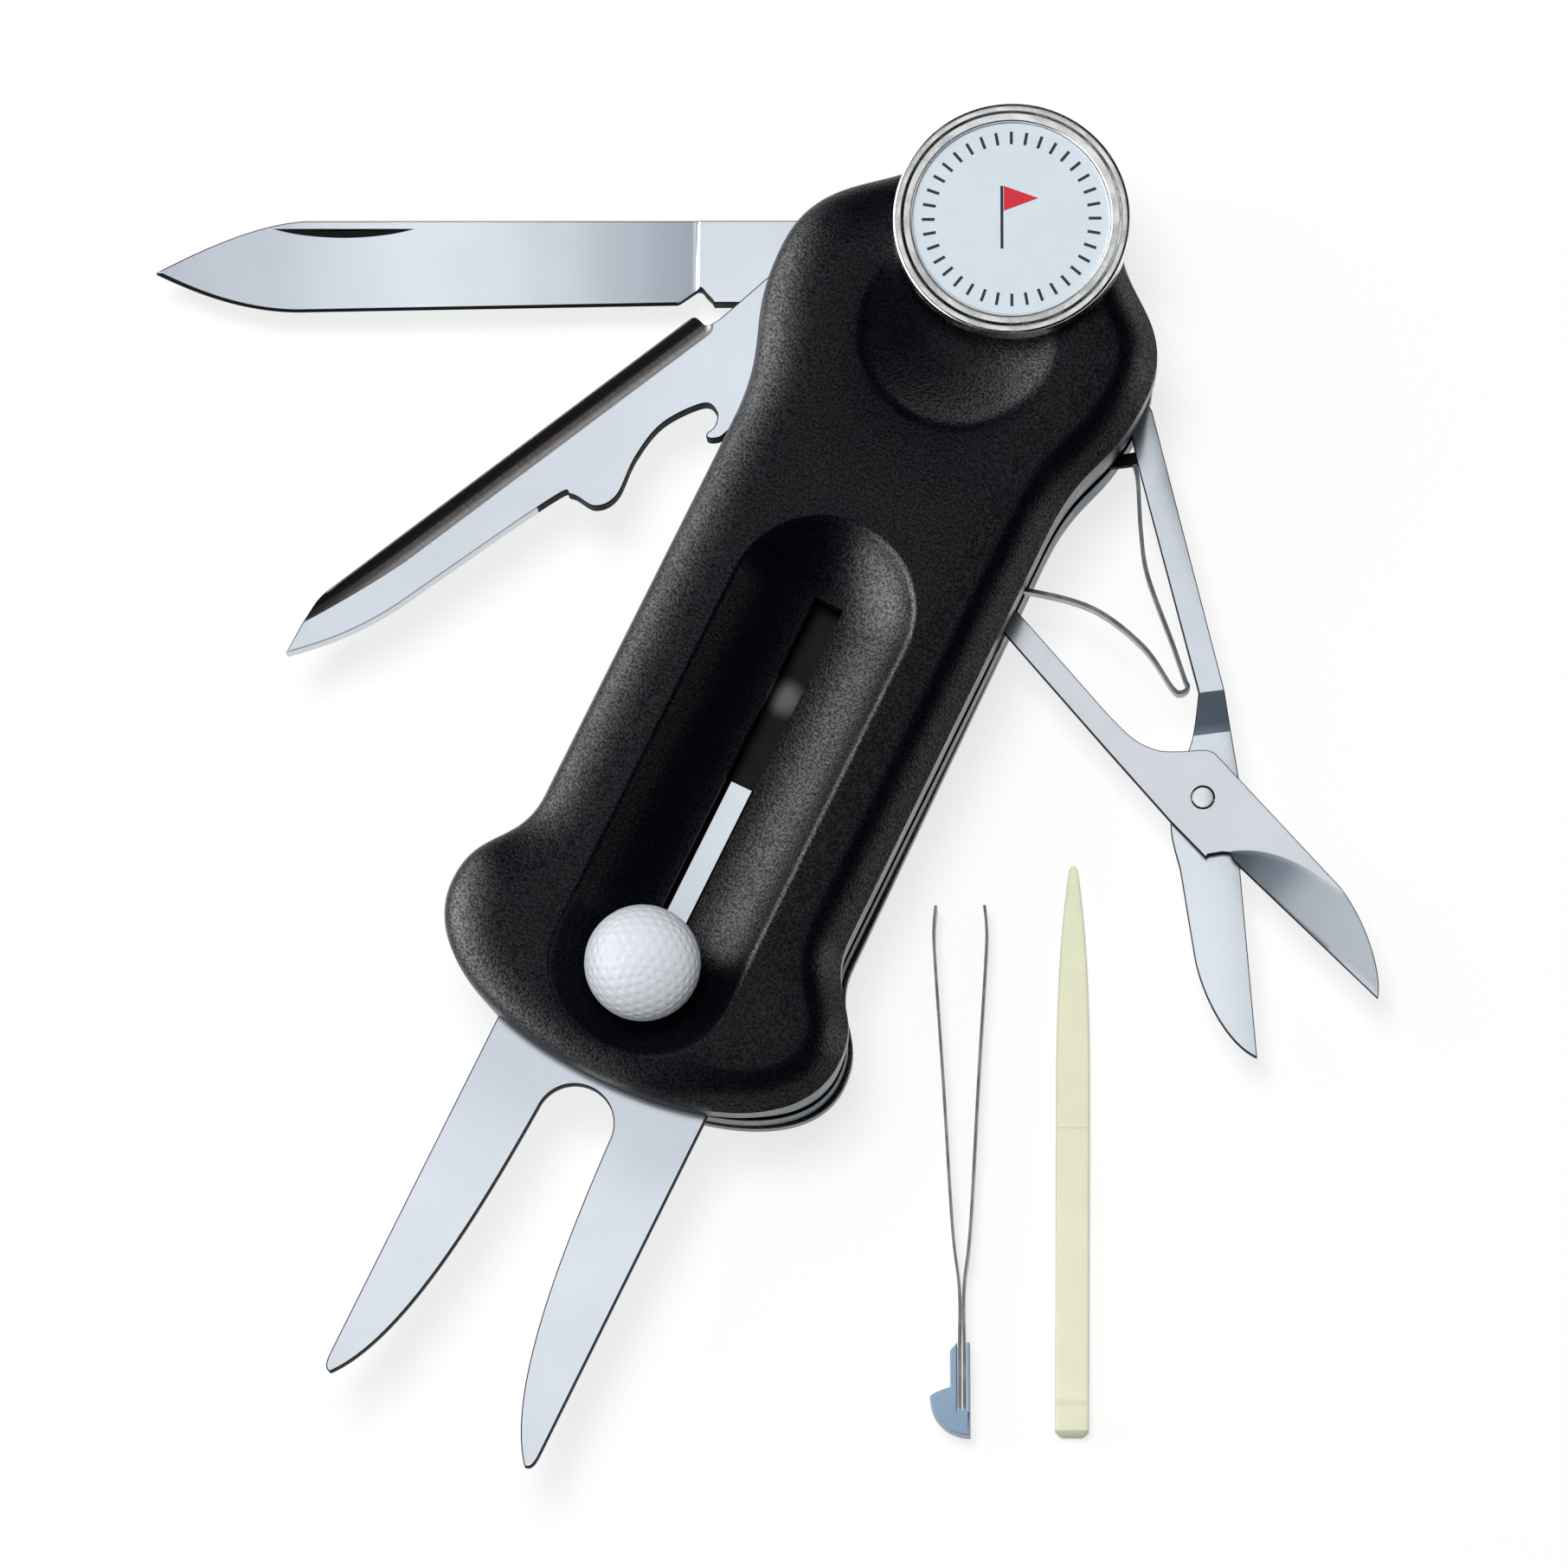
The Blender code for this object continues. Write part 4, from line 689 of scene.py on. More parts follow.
@cache
def brushed_group():
    """Polishing lines across a tool, with a slow cloud in the polish."""
    group, given, leave = effect("Brushed lines", {"Lines": 14.0}, "Line", "Cloud")
    stretch = mapped(group, given["Vector"], Scale=(0.02, 1.0, 0.3))
    line = noise(group, stretch, Scale=given["Lines"], Detail=3.0, Roughness=0.6)
    cloud = noise(group, given["Vector"], Scale=0.12, Detail=1.0)
    feed(group, leave, {"Line": line, "Cloud": cloud})
    return group


@cache
def handling_group():
    """Marks of handling: smears and a few faint scratches."""
    group, given, leave = effect("Handling marks", {"Scale": 0.3}, "Smear", "Scratch")
    smear = noise(group, given["Vector"], Scale=given["Scale"], Detail=4.0, Roughness=0.6, Distortion=0.4)
    tilt = mapped(group, given["Vector"], Rotation=(0.0, 0.0, 0.7), Scale=(0.12, 2.4, 1.0))
    scratch = noise(group, tilt, Scale=0.9, Detail=2.0)
    feed(group, leave, {
        "Smear": spread(group, smear, 0.35, 0.7, 0.0, 1.0),
        "Scratch": spread(group, scratch, 0.66, 0.72, 0.0, 1.0),
    })
    return group


def use_group(tree, group, vector, **values):
    """The outputs of a shared effect placed in a material."""
    return node(tree, "ShaderNodeGroup", {"node_tree": group}, {"Vector": vector, **values}).outputs


# Materials

def new_material(name, place=(0.0, 0.0), turn=0.0, plain=()):
    """A material, its tree and shader, and millimetre coordinates in a tool's own frame."""
    material = bpy.data.materials.new(name)
    material.use_nodes = True
    tree = material.node_tree
    shader = feed(tree, tree.nodes["Principled BSDF"], dict(plain))
    spot = (place[0] * MM, place[1] * MM, 0.0)
    where = mapped(
        tree, node(tree, "ShaderNodeTexCoord").outputs["Object"], {"vector_type": "TEXTURE"},
        Location=spot, Rotation=(0.0, 0.0, math.radians(turn)), Scale=(MM, MM, MM),
    )
    return material, tree, shader, where


def bump(tree, height, distance):
    """A normal from a height; the distance is in millimetres."""
    return node(tree, "ShaderNodeBump", values={"Height": height, "Distance": distance * MM}).outputs["Normal"]


def tinted(colour, factor):
    """A lighter or darker shade of a colour."""
    return tuple(min(part * factor, 1.0) for part in colour)


@cache
def nylon():
    """Matt black nylon with a fine moulded grain."""
    material, tree, shader, where = new_material("black_nylon_grain")
    base = colour_of("nylon")
    grain = use_group(tree, grain_group(), where)
    smear = use_group(tree, handling_group(), where, Scale=0.16)["Smear"]
    shade = mix_colour(tree, grain["Height"], tinted(base, 0.6), tinted(base, 1.45))
    feed(tree, shader, {
        "Base Color": mix_colour(tree, math_node(tree, "MULTIPLY", smear, 0.18), shade, tinted(base, 2.2)),
        "Roughness": spread(tree, grain["Mottle"], 0.3, 0.7, 0.28, 0.34),
        "Specular IOR Level": spread(tree, grain["Height"], 0.0, 1.0, 0.12, 0.6, "LINEAR"),
        "Normal": bump(tree, grain["Height"], 0.012),
    })
    return material


def hollow_mask(tree, parts):
    """1 inside the scissors blade's hollow grind and 0 on the rest of its face."""
    run = math_node(tree, "DIVIDE", math_node(tree, "SUBTRACT", parts[1], HOLLOW_START), HOLLOW_RUN)
    rest = math_node(tree, "MULTIPLY", math_node(tree, "EXPONENT", run), HOLLOW_SPAN)
    border = math_node(tree, "SUBTRACT", HOLLOW_BORDER + HOLLOW_SPAN, rest)
    away = math_node(tree, "SUBTRACT", border, parts[0])
    inside = spread(tree, away, -HOLLOW_SOFT, HOLLOW_SOFT, 0.0, 1.0)
    far, near = (HOLLOW_START - fade for fade in HOLLOW_FADE)
    return math_node(tree, "MULTIPLY", inside, spread(tree, parts[1], far, near, 1.0, 0.0))


def steel_material(name, place, turn, stations, rough=0.13, hollow=False, shine=None):
    """Polished steel with painted reflection and shade running along the tool: stations are (place in mm, 0
    dark to 1 bright).
    """
    material, tree, shader, where = new_material(name, place, turn, {"Metallic": 0.6})
    bright = shine or colour_of("steel")
    brushed = use_group(tree, brushed_group(), where)
    marks = use_group(tree, handling_group(), where)
    shade = mix_colour(tree, brushed["Cloud"], tinted(bright, 0.93), tinted(bright, 1.06))
    parts = node(tree, "ShaderNodeSeparateXYZ", values={0: where}).outputs
    low, high = stations[0][0], stations[-1][0]
    along = spread(tree, parts[1], low, high, 0.0, 1.0, "LINEAR")
    stops = [((spot - low) / (high - low), (tone, tone, tone)) for spot, tone in stations]
    lit = colour_of("steel") if hollow else shade
    # Painted reflection and shade: the tone ramp darkens the steel towards the dark colour where its polish
    # would mirror darker surroundings
    toned = mix_colour(tree, tone_ramp(tree, along, stops, "EASE"), colour_of("steel_dark"), lit)
    # Inside the scissors' hollow grind, the painted shade of the hollow tones takes over
    shade = mix_colour(tree, hollow_mask(tree, parts), shade, toned) if hollow else toned
    line = spread(tree, brushed["Line"], 0.3, 0.7, 0.0, 0.03, "LINEAR")
    smear = math_node(tree, "MULTIPLY", marks["Smear"], 0.03)
    scratch = math_node(tree, "MULTIPLY", marks["Scratch"], 0.015)
    gloss = math_node(tree, "ADD", math_node(tree, "ADD", line, smear), rough)
    feed(tree, shader, {
        "Base Color": mix_colour(tree, line, shade, tinted(bright, 0.5)),
        "Roughness": math_node(tree, "ADD", gloss, scratch),
        "Normal": bump(tree, brushed["Line"], 0.0003),
    })
    return material


def metal_material(name, colour, rough, lines=6.0):
    """A plain metal with faint lines and smears."""
    material, tree, shader, where = new_material(name, plain={"Metallic": 1.0})
    line = use_group(tree, brushed_group(), where, Lines=lines)["Line"]
    smear = use_group(tree, handling_group(), where, Scale=0.5)["Smear"]
    feed(tree, shader, {
        "Base Color": mix_colour(tree, line, tinted(colour, 0.78), tinted(colour, 1.2)),
        "Roughness": spread(tree, smear, 0.0, 1.0, rough, rough + 0.12, "LINEAR"),
        "Normal": bump(tree, line, 0.002),
    })
    return material


@cache
def painted_dark_edge():
    """Blanked steel walls painted nearly black as a painted dark reflection, with fine drag lines down the cut.
    """
    material, tree, shader, where = new_material("blanked_edge", plain={"Specular IOR Level": 0.01})
    line = use_group(tree, brushed_group(), where, Lines=3.0)["Line"]
    feed(tree, shader, {
        "Base Color": mix_colour(tree, line, tinted(colour_of("edge"), 0.5), tinted(colour_of("edge"), 1.6)),
        "Roughness": spread(tree, line, 0.3, 0.7, 0.35, 0.5),
        "Normal": bump(tree, line, 0.004),
    })
    return material


def trough_material(name, place, turn):
    """The groove cleaner's trough, painted across its width: painted shade black at the back and warm grey up
    its inner wall, and a painted highlight at the lip.
    """
    material, tree, shader, where = new_material(name, place, turn, {"Metallic": 0.55})
    line = use_group(tree, brushed_group(), where, Lines=6.0)["Line"]
    parts = node(tree, "ShaderNodeSeparateXYZ", values={0: where}).outputs
    across = spread(tree, parts[0], *TROUGH_SPAN, 0.0, 1.0, "LINEAR")
    worn = spread(tree, line, 0.3, 0.7, 0.0, 0.4)
    feed(tree, shader, {
        "Base Color": mix_colour(tree, worn, tone_ramp(tree, across, TROUGH_TONES), (0.01, 0.01, 0.011)),
        "Roughness": spread(tree, line, 0.3, 0.7, 0.25, 0.35),
    })
    return material


def bay_material(name, spot):
    """The polished plate at the bottom of the fork's bay: painted dark as painted shade in the bay, with a soft
    painted pale reflection at one spot.
    """
    material, tree, shader, where = new_material(name, plain={"Specular IOR Level": 0.15})
    smear = use_group(tree, handling_group(), where, Scale=0.6)["Smear"]
    values = {0: where, 1: (*spot, LINERS["liner_fork"][1])}
    away = node(tree, "ShaderNodeVectorMath", {"operation": "DISTANCE"}, values).outputs["Value"]
    shade = mix_colour(tree, smear, (0.006, 0.005, 0.006), (0.014, 0.011, 0.012))
    feed(tree, shader, {
        "Base Color": mix_colour(tree, spread(tree, away, 0.3, 2.1, 1.0, 0.0), shade, (0.12, 0.115, 0.12)),
        "Roughness": spread(tree, smear, 0.0, 1.0, 0.3, 0.4),
    })
    return material


def plastic_material(name, colour, rough, grain=0.01, coat=0.0, sheen=1.12):
    """Moulded plastic with a soft mottle."""
    plain = {"Specular IOR Level": 0.4, "Coat Weight": coat, "Coat Roughness": 0.12}
    material, tree, shader, where = new_material(name, plain=plain)
    grains = use_group(tree, grain_group(), where, Pebble=3.0)
    smear = use_group(tree, handling_group(), where, Scale=0.4)["Smear"]
    shade = mix_colour(tree, grains["Mottle"], tinted(colour, 2.0 - sheen), tinted(colour, sheen))
    feed(tree, shader, {
        "Base Color": mix_colour(tree, math_node(tree, "MULTIPLY", smear, 0.15), shade, tinted(colour, 0.85)),
        "Roughness": spread(tree, smear, 0.0, 1.0, rough, rough + 0.1),
        "Normal": bump(tree, grains["Height"], grain),
    })
    return material


@cache
def liner_steel():
    """The plates between the tools."""
    return metal_material("liner_steel", colour_of("liner"), 0.3)


@cache
def spring_steel():
    """The springs and the ball's stem."""
    return metal_material("spring_steel", (0.24, 0.26, 0.28), 0.26)


# Geometry node trees

def shape_group(name, inputs):
    """An empty tree that makes a shape with a material from some geometry."""
    inputs = {"Geometry": "Geometry", **inputs, "Material": "Material"}
    return new_group(name, inputs, {"Geometry": "Geometry"}, "GeometryNodeTree")


def painted(group, given, leave, shape):
    """Ends a tree with real geometry that has the given material."""
    solid = node(group, "GeometryNodeRealizeInstances", values={0: shape}).outputs[0]
    paint = node(group, "GeometryNodeSetMaterial", values={"Geometry": solid, "Material": given["Material"]})
    feed(group, leave, {0: paint.outputs[0]})
    return group


@cache
def path_tree():
    """A flat strip along a path."""
    group, given, leave = shape_group("Strip along a path", {"Thickness": 0.4, "Width": 1.7})
    line = node(group, "GeometryNodeMeshToCurve", values={0: given["Geometry"]}).outputs[0]
    upright = node(group, "GeometryNodeSetCurveNormal", {"mode": "Z_UP"}, {0: line}).outputs[0]
    values = {"Width": given["Thickness"], "Height": given["Width"]}
    section = node(group, "GeometryNodeCurvePrimitiveQuadrilateral", values=values).outputs[0]
    values = {"Curve": upright, "Profile Curve": section, "Fill Caps": True}
    return painted(group, given, leave, node(group, "GeometryNodeCurveToMesh", values=values).outputs[0])


@cache
def ball_tree():
    """A ball with a dimple at every point of the input, flat underneath."""
    group, given, leave = shape_group(
        "Dimpled ball", {"Radius": BALL_RADIUS, "Dimple Width": 0.7, "Dimple Depth": 0.06, "Flat": BALL_FLAT}
    )
    values = {"Radius": given["Radius"], "Subdivisions": 7}
    ball = node(group, "GeometryNodeMeshIcoSphere", values=values).outputs["Mesh"]
    near = node(group, "GeometryNodeProximity", {"target_element": "POINTS"}, {0: given["Geometry"]})
    half = math_node(group, "MULTIPLY", given["Dimple Width"], 0.5)
    share = math_node(group, "DIVIDE", near.outputs["Distance"], half, clamp=True)
    bowl = math_node(group, "SUBTRACT", math_node(group, "MULTIPLY", share, share), 1.0)
    depth = math_node(group, "MULTIPLY", bowl, given["Dimple Depth"])
    values = {0: node(group, "GeometryNodeInputNormal").outputs[0], "Scale": depth}
    push = node(group, "ShaderNodeVectorMath", {"operation": "SCALE"}, values).outputs[0]
    ball = node(group, "GeometryNodeSetPosition", values={"Geometry": ball, "Offset": push}).outputs[0]
    place = node(group, "GeometryNodeInputPosition").outputs[0]
    x, y, z = node(group, "ShaderNodeSeparateXYZ", values={0: place}).outputs
    values = {0: x, 1: y, 2: math_node(group, "MAXIMUM", z, given["Flat"])}
    level = node(group, "ShaderNodeCombineXYZ", values=values).outputs[0]
    ball = node(group, "GeometryNodeSetPosition", values={"Geometry": ball, "Position": level}).outputs[0]
    smooth = node(group, "GeometryNodeSetShadeSmooth", values={"Geometry": ball}).outputs[0]
    return painted(group, given, leave, smooth)


@cache
def tick_tree():
    """A ring of short raised dashes, joined to the input's geometry."""
    group, given, leave = shape_group(
        "Ring of dashes", {"Count": 36, "Ring Radius": 7.0, "Length": 1.1, "Width": 0.28, "Height": 0.02}
    )
    values = {0: given["Length"], 1: given["Width"], 2: given["Height"]}
    size = node(group, "ShaderNodeCombineXYZ", values=values).outputs[0]
    dash = node(group, "GeometryNodeMeshCube", values={"Size": size}).outputs["Mesh"]
    values = {"Vertices": given["Count"], "Radius": given["Ring Radius"]}
    ring = node(group, "GeometryNodeMeshCircle", values=values).outputs[0]
    step = math_node(group, "DIVIDE", math.tau, given["Count"])
    number = node(group, "GeometryNodeInputIndex").outputs[0]
    values = {2: math_node(group, "MULTIPLY", number, step)}
    turn = node(group, "ShaderNodeCombineXYZ", values=values).outputs[0]
    values = {"Points": ring, "Instance": dash, "Rotation": turn}
    spots = node(group, "GeometryNodeInstanceOnPoints", values=values).outputs[0]
    both = node(group, "GeometryNodeJoinGeometry", values={0: spots})
    feed(group, both, {0: given["Geometry"]})
    return painted(group, given, leave, both.outputs[0])


def grown(tree, mesh, values):
    """The plain mesh that a geometry node tree makes from a mesh."""
    piece = as_object(tree.name, mesh)
    modifier = piece.modifiers.new(tree.name, "NODES")
    modifier.node_group = tree
    for item in tree.interface.items_tree:
        if item.item_type == "SOCKET" and item.in_out == "INPUT" and item.name in values:
            modifier[item.identifier] = values[item.name]
    result = evaluated(piece)
    piece.modifiers.remove(modifier)
    bpy.data.objects.remove(piece)
    return result


def strip_mesh(path, thickness, level, finish):
    """A bent strip standing on edge between two levels."""
    mesh = bpy.data.meshes.new("path")
    middle = (level[0] + level[1]) / 2
    edges = [(i, i + 1) for i in range(len(path) - 1)]
    mesh.from_pydata([(x, y, middle) for x, y in path], edges, [])
    values = {"Thickness": thickness, "Width": level[1] - level[0], "Material": finish}
    return smoothed(grown(path_tree(), mesh, values), 30.0)


# Handle

def crown_rings(crown, steps):
    """(inset, drop) pairs of an elliptic crown from its edge to its crest."""
    width, drop = crown
    return [(width * (1 - math.cos(a)), drop * (1 - math.sin(a))) for a in angles(0.0, 90.0, steps)]


def distance_to_loop(points, loop):
    """The distance of many points to a closed outline."""
    start = np.array(loop)
    span = np.roll(start, -1, 0) - start
    best = np.full(len(points), np.inf)
    for a, d in zip(start, span):
        t = np.clip(((points - a) @ d) / max(d @ d, 1e-12), 0.0, 1.0)
        best = np.minimum(best, np.sum((points - a - t[:, None] * d) ** 2, 1))
    return np.sqrt(best)


def softer(first, second, size):
    """The lower of two heights, with the corner between them rounded off."""
    near = np.clip(size - np.abs(first - second), 0.0, None)
    return np.minimum(first, second) - near ** 2 / (4 * size)


def sunk(distance, radius, depth):
    """The height of a round hollow of a given rim radius and depth below the crest."""
    bend = (radius ** 2 + depth ** 2) / (2 * depth)
    return FRONT_SCALE[1] + bend - depth - np.sqrt(np.clip(bend ** 2 - distance ** 2, 0.0, None))


def top_heights(points, loop, rim):
    """The front scale's upper surface over many points."""
    crest = FRONT_SCALE[1]
    inset = distance_to_loop(points, loop)
    width, drop = FRONT_CROWN
    lean = np.clip(1.0 - inset / width, 0.0, 1.0)
    rounded = crest - drop * (1.0 - np.sqrt(1.0 - lean ** 2))
    dome = crest - FRONT_DOME[1] * np.clip(1.0 - inset / FRONT_DOME[0], 0.0, 1.0) ** 2
    bevelled = softer(crest + drop * (inset / FRONT_BEVEL - 1.0), dome, BEVEL_ROUND)
    share = np.clip((points[:, 0] - BEVEL_SIDE[0]) / (BEVEL_SIDE[1] - BEVEL_SIDE[0]), 0.0, 1.0)
    share = share * share * (3.0 - 2.0 * share)
    height = rounded + (bevelled - rounded) * share
    seat = np.hypot(points[:, 0] - BOSS[0], points[:, 1] - BOSS[1])
    height = np.where(seat < SEAT_RADIUS, crest, height)
    along = np.clip(points[:, 1], STEM[1], STEM[1] + FORK_TRAVEL)
    channel = sunk(np.hypot(points[:, 0], points[:, 1] - along), CHANNEL_HALF, CHANNEL_DEPTH)
    scoop = sunk(np.hypot(points[:, 0] - SCOOP[0], points[:, 1] - SCOOP[1]), SCOOP_RADIUS, SCOOP_DEPTH)
    return softer(softer(height, channel, rim), scoop, rim)


def stadium(radius, steps=40):
    """A long round-ended ring about the ball channel."""
    low = STEM[1]
    high = STEM[1] + FORK_TRAVEL
    left = [(-radius, y) for y in np.linspace(high, low, 46)[1:-1]]
    right = [(radius, y) for y in np.linspace(low, high, 46)[1:-1]]
    top = arc((0.0, high), radius, 0.0, 180.0, steps)
    return top + left + arc((0.0, low), radius, 180.0, 360.0, steps) + right


def front_scale_mesh():
    """The front scale: one relief surface over the outline, with the fork's slot and the magnet's pocket."""
    bottom = FRONT_SCALE[0]
    rim = size_of("rim_round")
    edge = [tuple(p) for p in oriented(handle_outline(0.0), False)]
    slot_low = STEM[1] - SLOT_HALF
    slot_high = STEM[1] + FORK_TRAVEL + SLOT_HALF
    slot = [(SLOT_HALF, y) for y in np.linspace(slot_low, slot_high, 46)]
    slot += [(-SLOT_HALF, y) for y in np.linspace(slot_high, slot_low, 46)]
    pocket = circle(MAGNET, POCKET_RADIUS, 64)
    rings = [edge, slot, pocket]
    rings += [handle_outline(inset) for inset in np.linspace(0.3, 6.0, 20)]
    rings += [stadium(radius) for radius in (*np.linspace(2.1, 6.9, 9), *np.linspace(7.2, 8.2, 9))]
    rings += [circle(SCOOP, radius, 90) for radius in (*np.linspace(0.9, 7.2, 8), *np.linspace(7.6, 8.9, 8))]
    rings += [circle(BOSS, radius, 120) for radius in (8.6, SEAT_RADIUS - 0.02, SEAT_RADIUS + 0.02)]
    points = []
    lines = []
    for ring in rings:
        start = len(points)
        points += [Vector(p) for p in ring]
        lines += [(start + i, start + (i + 1) % len(ring)) for i in range(len(ring))]
    found, _, triangles, origin, _, _ = delaunay_2d_cdt(points, lines, [], 1, 1e-5)
    flat = np.array([tuple(p) for p in found])
    heights = top_heights(flat, edge, rim)
    work = bmesh.new()
    verts = [work.verts.new((x, y, z)) for (x, y), z in zip(flat, heights)]
    for triangle in triangles:
        x, y = flat[list(triangle)].mean(0)
        if abs(x) < SLOT_HALF and slot_low < y < slot_high:
            continue
        if math.dist((x, y), MAGNET) < POCKET_RADIUS - 0.01:
            continue
        work.faces.new([verts[i] for i in triangle])
    index = {source: new for new, sources in enumerate(origin) for source in sources}
    outer = [verts[index[i]] for i in range(len(edge))]
    hole = [verts[index[len(edge) + i]] for i in range(len(slot))]
    well = [verts[index[len(edge) + len(slot) + i]] for i in range(len(pocket))]
    outline = np.array(edge)
    shoulder = ring_of(work, outline, bottom + FOOT_BEVEL)
    foot = ring_of(work, drawn_in(outline, FOOT_BEVEL), bottom)
    bridge(work, outer, shoulder, 0)
    bridge(work, shoulder, foot, 0)
    slot_foot = ring_of(work, slot, bottom)
    bridge(work, hole, slot_foot, 0)
    floor = ring_of(work, pocket, FRONT_SCALE[1] - POCKET_DEPTH)
    bridge(work, well, floor, 0)
    fill(work, [floor])
    sockets = []
    for name in ("pivot_pin", "top_pin", "corner_pin_left", "corner_pin_front"):
        ring = circle(PINS[name][:2], PIN_RADIUS + RUN_GAP, 24)
        mouth = ring_of(work, ring, bottom)
        end = ring_of(work, ring, bottom + SOCKET_DEPTH)
        bridge(work, mouth, end, 0)
        fill(work, [end])
        sockets.append(mouth)
    fill(work, [foot, slot_foot] + sockets)
    bmesh.ops.delete(work, geom=[v for v in work.verts if not v.link_faces], context="VERTS")
    bmesh.ops.recalc_face_normals(work, faces=work.faces)
    mesh = made(work, "front_scale_shell", 38.0)
    relief_normals(mesh, edge, rim)
    return mesh


def relief_normals(mesh, edge, rim):
    """Gives the relief surface the exact normals of its height function."""
    step = 0.02
    spots = np.array([tuple(v.co) for v in mesh.vertices])
    flat = spots[:, :2]
    height = top_heights(flat, edge, rim)
    east = top_heights(flat + (step, 0.0), edge, rim) - top_heights(flat - (step, 0.0), edge, rim)
    north = top_heights(flat + (0.0, step), edge, rim) - top_heights(flat - (0.0, step), edge, rim)
    normal = np.stack((-east / (2 * step), -north / (2 * step), np.ones(len(flat))), 1)
    normal /= np.linalg.norm(normal, axis=1)[:, None]
    inner = (np.abs(height - spots[:, 2]) < 1e-4) & (distance_to_loop(flat, edge) > 0.1)
    seat = np.abs(np.hypot(flat[:, 0] - BOSS[0], flat[:, 1] - BOSS[1]) - SEAT_RADIUS) > 0.1
    inner &= seat
    chosen = [(0.0, 0.0, 0.0)] * len(mesh.loops)
    for face in mesh.polygons:
        if face.normal.z < 0.15:
            continue
        for corner in face.loop_indices:
            vertex = mesh.loops[corner].vertex_index
            if inner[vertex]:
                chosen[corner] = tuple(normal[vertex])
    mesh.normals_split_custom_set(chosen)


def back_scale_mesh():
    """The back scale: a crowned shell with the helpers' slots cut into its inner face."""
    bottom, top = BACK_SCALE
    work = bmesh.new()
    profile = [(FOOT_BEVEL, top), (0.0, top - FOOT_BEVEL)]
    profile += [(inset, bottom + drop) for inset, drop in crown_rings(BACK_CROWN, 10)]
    rings = []
    for inset, z in profile:
        rings.append(ring_of(work, handle_outline(inset, lift=BACK_LIFT, flare=BACK_SHOULDER), z))
    for first, second in zip(rings, rings[1:]):
        bridge(work, first, second, 0)
    fill(work, [rings[0]])
    fill(work, [rings[-1]])
    bmesh.ops.recalc_face_normals(work, faces=work.faces)
    mesh = made(work, "back_scale_shell", 30.0)
    for x, half, depth, length in HELPER_SLOTS:
        mouth, end = HANDLE_BOTTOM - 2.0, HANDLE_BOTTOM + length
        corners = [(x - half, mouth), (x + half, mouth), (x + half, end), (x - half, end)]
        mesh = cut(mesh, plate([corners], (top - depth, top + 2.0), 0.05), sharp=30.0)
    for name in ("pivot_pin", "top_pin", "corner_pin_left", "corner_pin_back"):
        socket = [circle(PINS[name][:2], PIN_RADIUS + RUN_GAP, 24)]
        mesh = cut(mesh, plate(socket, (top - SOCKET_DEPTH, top + 1.0), 0.05), sharp=30.0)
    return mesh


class GOLFTOOL_OT_scales(bpy.types.Operator):
    """Build the two moulded grip scales"""

    bl_idname = "golftool.scales"
    bl_label = "Grip scales"

    def execute(self, context):
        add_piece("front_scale_shell", placed(front_scale_mesh()), [nylon()], "handle",
                  ["front_scale"])
        add_piece("back_scale_shell", placed(back_scale_mesh()), [nylon()], "handle",
                  ["back_scale"])
        return {"FINISHED"}


def around_bay(half, side):
    """One side of the handle's outline with the fork's bay cut out of its lower inner corner."""
    inside = [abs(x) < BAY_HALF and y < BAY_END for x, y in half]
    start = next(i for i in range(len(half)) if inside[i - 1] and not inside[i])
    order = half[start:] + half[:start]
    kept = [p for p in order if not (abs(p[0]) < BAY_HALF and p[1] < BAY_END)]
    low_end = kept[0] if kept[0][1] < kept[-1][1] else kept[-1]
    corners = [(side * LANE_HALF, BAY_END), (side * BAY_HALF, BAY_END), (side * BAY_HALF, low_end[1])]
    return kept + (corners if low_end is kept[0] else corners[::-1])


class GOLFTOOL_OT_plates(bpy.types.Operator):
    """Build the steel plates between the scales"""

    bl_idname = "golftool.plates"
    bl_label = "Liners, spacers and guides"

    def execute(self, context):
        rounding = size_of("edge_round")
        shared = ("pivot_pin", "top_pin", "corner_pin_left", "scissors_pin", "spring_pin")
        outline = handle_outline(PLATE_INSET, lift=PLATE_LIFT)
        sheets = []
        for name, level in LINERS.items():
            last = "corner_pin_back" if name in ("liner_back", "liner_blade") else "corner_pin_front"
            sheets.append((name, [outline], level, shared + (last,)))
        right = clipped(outline, 0, SPACER_EDGE, 1)
        left = clipped(outline, 0, SPACER_EDGE, -1)
        sheets.append(("blade_spacer", [right], BLADE, ("top_pin", "corner_pin_back", "scissors_pin")))
        sheets.append(("opener_spacer", [right], OPENER, ("top_pin", "corner_pin_front", "scissors_pin")))
        sheets.append(("scissors_spacer", [left], SCISSORS, ("pivot_pin", "corner_pin_left", "spring_pin")))
        for name, side, pins in (
            ("fork_guide_left", -1, ("pivot_pin", "corner_pin_left")),
            ("fork_guide_right", 1, ("top_pin", "corner_pin_front")),
        ):
            half = clipped(outline, 0, side * LANE_HALF, side)
            sheets.append((name, [around_bay(half, side)], FORK, pins))
        bay = bay_material("bay_floor", BAY_GLINT)
        for name, loops, level, pins in sheets:
            work = plate(loops + pin_holes(pins), level, min(rounding, 0.08), steps=2)
            mesh = placed(made(work, name))
            face = bay if name == "liner_fork" else liner_steel()
            add_piece(name + "_plate", mesh, [face, liner_steel()], "handle", [name])
        for name in ("blade_spring", "opener_spring", "scissors_backspring"):
            finish_node(name, spring_steel())
        return {"FINISHED"}


